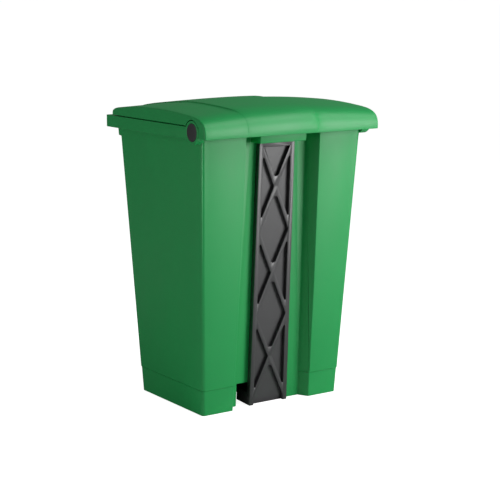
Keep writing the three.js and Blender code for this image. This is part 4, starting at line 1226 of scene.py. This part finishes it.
def pad_mesh(sizes):
    start, end = LEVER_FRONT + PAD_ENDS[0], LEVER_FRONT + PAD_ENDS[1]
    step = (end - start) / (sizes.groove_count + 1)
    corners = ((-PAD_HALF, start), (PAD_HALF, start), (PAD_HALF, end), (-PAD_HALF, end))
    outline = [(x, y, 0.0) for x, y in corners]
    given = {
        "Low": PAD_HEIGHTS[0] * MM, "High": PAD_HEIGHTS[1] * MM, "Corner": PAD_CORNER * MM,
        "Grooves": sizes.groove_count, "First groove": (0.0, (start + step) * MM, PAD_HEIGHTS[1] * MM),
        "Groove step": (0.0, step * MM, 0.0),
        "Groove size": (2 * GROOVE_HALF * MM, sizes.groove_width, 2 * sizes.groove_depth),
        "Turn": (PEDAL_TURN, 0.0, 0.0), "Place": tuple(c * MM for c in PEDAL_PLACE),
    }
    mesh = grown(ribbed_pad(), seed_mesh([(outline, True, {})]), "black_rubber", given)
    return merged_mesh(mesh, sizes.small_round)


# Operators


class BuildBin(bpy.types.Operator):
    """Makes the bin with its rim, channel and stepped base, edges rounded"""

    bl_idname = "trash_can.bin"
    bl_label = "Bin"

    def execute(self, context):
        _, sizes = settings()
        rounded_piece("container", sizes.wall_round, sizes.round_steps)
        return {"FINISHED"}


class BuildLid(bpy.types.Operator):
    """Makes the lid: crowned shell with its raised panel, lugs, cam, ribs and bosses"""

    bl_idname = "trash_can.lid"
    bl_label = "Lid"

    def execute(self, context):
        _, sizes = settings()
        piece_from(lid_mesh(sizes), "lid_shell", ["lid"], smooth_under=28.0)
        return {"FINISHED"}


class BuildLiftPlate(bpy.types.Operator):
    """Makes the plate with crossed braces that slides in the rear channel"""

    bl_idname = "trash_can.lift_plate"
    bl_label = "Lift plate"

    def execute(self, context):
        _, sizes = settings()
        piece_from(plate_mesh(sizes), "lift_plate_braced", ["lift_plate"])
        return {"FINISHED"}


class BuildPedal(bpy.types.Operator):
    """Makes the lever, its tread pad, the axle and what holds it"""

    bl_idname = "trash_can.pedal"
    bl_label = "Pedal"

    def execute(self, context):
        _, sizes = settings()
        rounded_piece("pedal_lever", sizes.plate_round, sizes.round_steps)
        piece_from(pad_mesh(sizes), "tread_pad_ribbed", ["pedal_tread"])
        for side in ("left", "right"):
            rounded_piece(f"axle_retainer_{side}", sizes.small_round, sizes.round_steps)
            dress(f"axle_clip_{side}")
        outline = softened(rod(AXLE_RADIUS, -AXLE_HALF, AXLE_HALF), ROD_SOFTENING)
        axle = turned_mesh("steel", outline, [PEDAL_PLACE], [TURN_RIGHT])
        piece_from(axle, "pedal_axle_turned", ["pedal_axle"])
        return {"FINISHED"}


class BuildHinge(bpy.types.Operator):
    """Makes the hinge's pins, bushings and caps"""

    bl_idname = "trash_can.hinge"
    bl_label = "Hinge"

    def execute(self, context):
        profiles = {
            "pin": softened(rod(PIN_RADIUS, *PIN_SPAN), ROD_SOFTENING),
            "bushing": [
                (BUSHING_BORE, FLANGE_SPAN[0]), (FLANGE_RADIUS, FLANGE_SPAN[0]),
                (FLANGE_RADIUS, FLANGE_SPAN[1]), (BUSHING_RADIUS, FLANGE_SPAN[1]),
                (BUSHING_RADIUS, LUG_SPAN[1]), (BUSHING_BORE, LUG_SPAN[1]),
            ],
            "cap": softened(
                [
                    (0, CAP_PLUG_FOOT), (CAP_PLUG_RADIUS, CAP_PLUG_FOOT), (CAP_PLUG_RADIUS, CAP_FOOT),
                    *rod(CAP_RADIUS, CAP_FOOT, HALF_WIDTH)[1:],
                ],
                CAP_SOFTENING,
            ),
        }
        place = (0.0, HINGE_Y, HINGE_Z)
        for kind, profile in profiles.items():
            nodes = [f"hinge_{kind}_left", f"hinge_{kind}_right"]
            mesh = turned_mesh(
                slot_of(nodes[0]), profile, [place, place], [TURN_LEFT, TURN_RIGHT],
                looped=kind == "bushing",
            )
            piece_from(mesh, f"hinge_{kind}s_turned", nodes)
        return {"FINISHED"}


class BuildFasteners(bpy.types.Operator):
    """Makes the retainer screws, the feet and the lid bumpers"""

    bl_idname = "trash_can.fasteners"
    bl_label = "Screws, feet and bumpers"

    def execute(self, context):
        foot = softened(rod(FOOT_RADIUS, 0, FOOT_HEIGHT), FOOT_SOFTENING)
        kinds = (
            ("retainer_screws_turned", "retainer_screw", SCREW_OUTLINE, SCREW_X, SCREW_YS, SCREW_RECESS),
            ("foot_pads_moulded", "foot_pad", foot, FOOT_X, FOOT_YS, None),
            ("lid_bumpers_moulded", "lid_bumper", BUMPER_OUTLINE, BUMPER_X, (BUMPER_Y,), None),
        )
        for name, node, outline, out, ys, recess in kinds:
            places = [(x, y, 0.0) for x in (-out, out) for y in ys]
            nodes = [f"{node}_{n + 1}" for n in range(len(places))]
            turns = [UPRIGHT] * len(places)
            mesh = turned_mesh(slot_of(nodes[0]), outline, places, turns, recess=recess)
            piece_from(mesh, name, nodes)
        return {"FINISHED"}


class BuildStage(bpy.types.Operator):
    """Makes the floor, the backdrop, the lamps and the camera"""

    bl_idname = "trash_can.stage"
    bl_label = "Stage"

    def execute(self, context):
        scene = context.scene
        colours, _ = settings()
        make_floor(tuple(colours.floor))
        make_world(scene)
        make_lamps(scene)
        make_camera(scene)
        scene.view_settings.view_transform = "Standard"
        return {"FINISHED"}


FLOOR_HALF = 150.0
FLOOR_GLOW = 0.94


def make_floor(pale):
    bm = bmesh.new()
    bmesh.ops.create_grid(bm, x_segments=1, y_segments=1, size=FLOOR_HALF)
    mesh = mesh_of(bm)
    made, tree = new_material("painted_studio_floor")
    paint = add(tree, "ShaderNodeBsdfDiffuse", {"Color": shade(pale)})[0]
    seen = add(tree, "ShaderNodeLightPath")["Is Camera Ray"]
    strength = add(tree, "ShaderNodeMath", {0: seen, 1: FLOOR_GLOW}, operation="MULTIPLY")[0]
    glow = add(tree, "ShaderNodeEmission", {"Strength": strength})[0]
    both = add(tree, "ShaderNodeAddShader", {0: paint, 1: glow})[0]
    add(tree, "ShaderNodeOutputMaterial", {"Surface": both})
    mesh.materials.append(made)
    floor = bpy.data.objects.new("studio_floor", mesh)
    bpy.context.scene.collection.objects.link(floor)


WORLD_LIGHT = 0.1
WORLD_GLOSS = 0.18


def make_world(scene):
    world = bpy.data.worlds.new("white_backdrop")
    world.use_nodes = True
    tree = world.node_tree
    tree.nodes.clear()
    path = add(tree, "ShaderNodeLightPath")
    seen = add(
        tree, "ShaderNodeMath",
        {0: path["Is Camera Ray"], 1: path["Is Transmission Ray"]}, operation="MAXIMUM",
    )[0]
    gloss = add(
        tree, "ShaderNodeMapRange",
        {"Value": path["Is Glossy Ray"], "To Min": WORLD_LIGHT, "To Max": WORLD_GLOSS},
    )["Result"]
    strength = add(
        tree, "ShaderNodeMapRange", {"Value": seen, "To Min": gloss, "To Max": 1.0}
    )["Result"]
    light = add(tree, "ShaderNodeBackground", {"Color": (1.0, 1.0, 1.0, 1.0), "Strength": strength})
    add(tree, "ShaderNodeOutputWorld", {"Surface": light[0]})
    scene.world = world


# Each softbox: where it stands, its two sides in metres, its power in watts, what it faces
SOFTBOXES = {
    "rear_softbox": ((-1.25, 1.85, 0.72), (1.0, 0.9), 26.0, (0.0, 0.15, 0.5)),
    "top_softbox": ((-0.95, 1.0, 1.95), (1.3, 1.5), 19.0, (0.0, 0.15, 0.6)),
    "side_softbox": ((2.6, -0.1, 0.6), (1.5, 1.4), 12.0, (0.2, 0.0, 0.3)),
}


def make_lamps(scene):
    for name, (place, (width, height), power, target) in SOFTBOXES.items():
        data = bpy.data.lights.new(name, "AREA")
        data.shape = "RECTANGLE"
        data.size, data.size_y, data.energy = width, height, power
        lamp = bpy.data.objects.new(name, data)
        lamp.location = place
        lamp.rotation_mode = "QUATERNION"
        lamp.rotation_quaternion = (Vector(place) - Vector(target)).to_track_quat("Z", "Y")
        scene.collection.objects.link(lamp)


CAMERA_PLACE = (1.6290, 2.4438, 0.8355)
CAMERA_AZIMUTH = 145.8
CAMERA_ELEVATION = 10.4
CAMERA_LENS_MM = 105.03


def make_camera(scene):
    data = bpy.data.cameras.new("photo_view")
    data.sensor_width = 36
    data.lens = CAMERA_LENS_MM
    data.clip_end = 500
    camera = bpy.data.objects.new("photo_view", data)
    a, e = math.radians(CAMERA_AZIMUTH), math.radians(CAMERA_ELEVATION)
    back = Vector((math.sin(a) * math.cos(e), -math.cos(a) * math.cos(e), math.sin(e)))
    right = Vector((math.cos(a), math.sin(a), 0.0))
    turn = Matrix((right, back.cross(right), back)).transposed().to_4x4()
    camera.matrix_world = Matrix.Translation(CAMERA_PLACE) @ turn
    scene.collection.objects.link(camera)
    scene.camera = camera


OPERATORS = (BuildBin, BuildLid, BuildLiftPlate, BuildPedal, BuildHinge, BuildFasteners, BuildStage)


class CanPanel(bpy.types.Panel):
    """Sidebar panel that lists the can's sizes, colours and pieces"""

    bl_idname = "VIEW3D_PT_trash_can"
    bl_label = "Step-on trash can"
    bl_space_type = "VIEW_3D"
    bl_region_type = "UI"
    bl_category = "Trash can"

    def draw(self, context):
        for owner in (context.scene.can_sizes, context.scene.can_colours):
            box = self.layout.box()
            for name in owner.__annotations__:
                box.prop(owner, name)
        for operator in OPERATORS:
            self.layout.operator(operator.bl_idname)


CLASSES = (CanColours, CanSizes, *OPERATORS, CanPanel)


def register():
    for cls in CLASSES:
        bpy.utils.register_class(cls)
    bpy.types.Scene.can_colours = bpy.props.PointerProperty(type=CanColours)
    bpy.types.Scene.can_sizes = bpy.props.PointerProperty(type=CanSizes)


def unregister():
    del bpy.types.Scene.can_sizes
    del bpy.types.Scene.can_colours
    for cls in reversed(CLASSES):
        bpy.utils.unregister_class(cls)


def main():
    register()
    bpy.ops.trash_can.bin()
    bpy.ops.trash_can.lid()
    bpy.ops.trash_can.lift_plate()
    bpy.ops.trash_can.pedal()
    bpy.ops.trash_can.hinge()
    bpy.ops.trash_can.fasteners()
    bpy.ops.trash_can.stage()


if __name__ == "__main__":
    main()
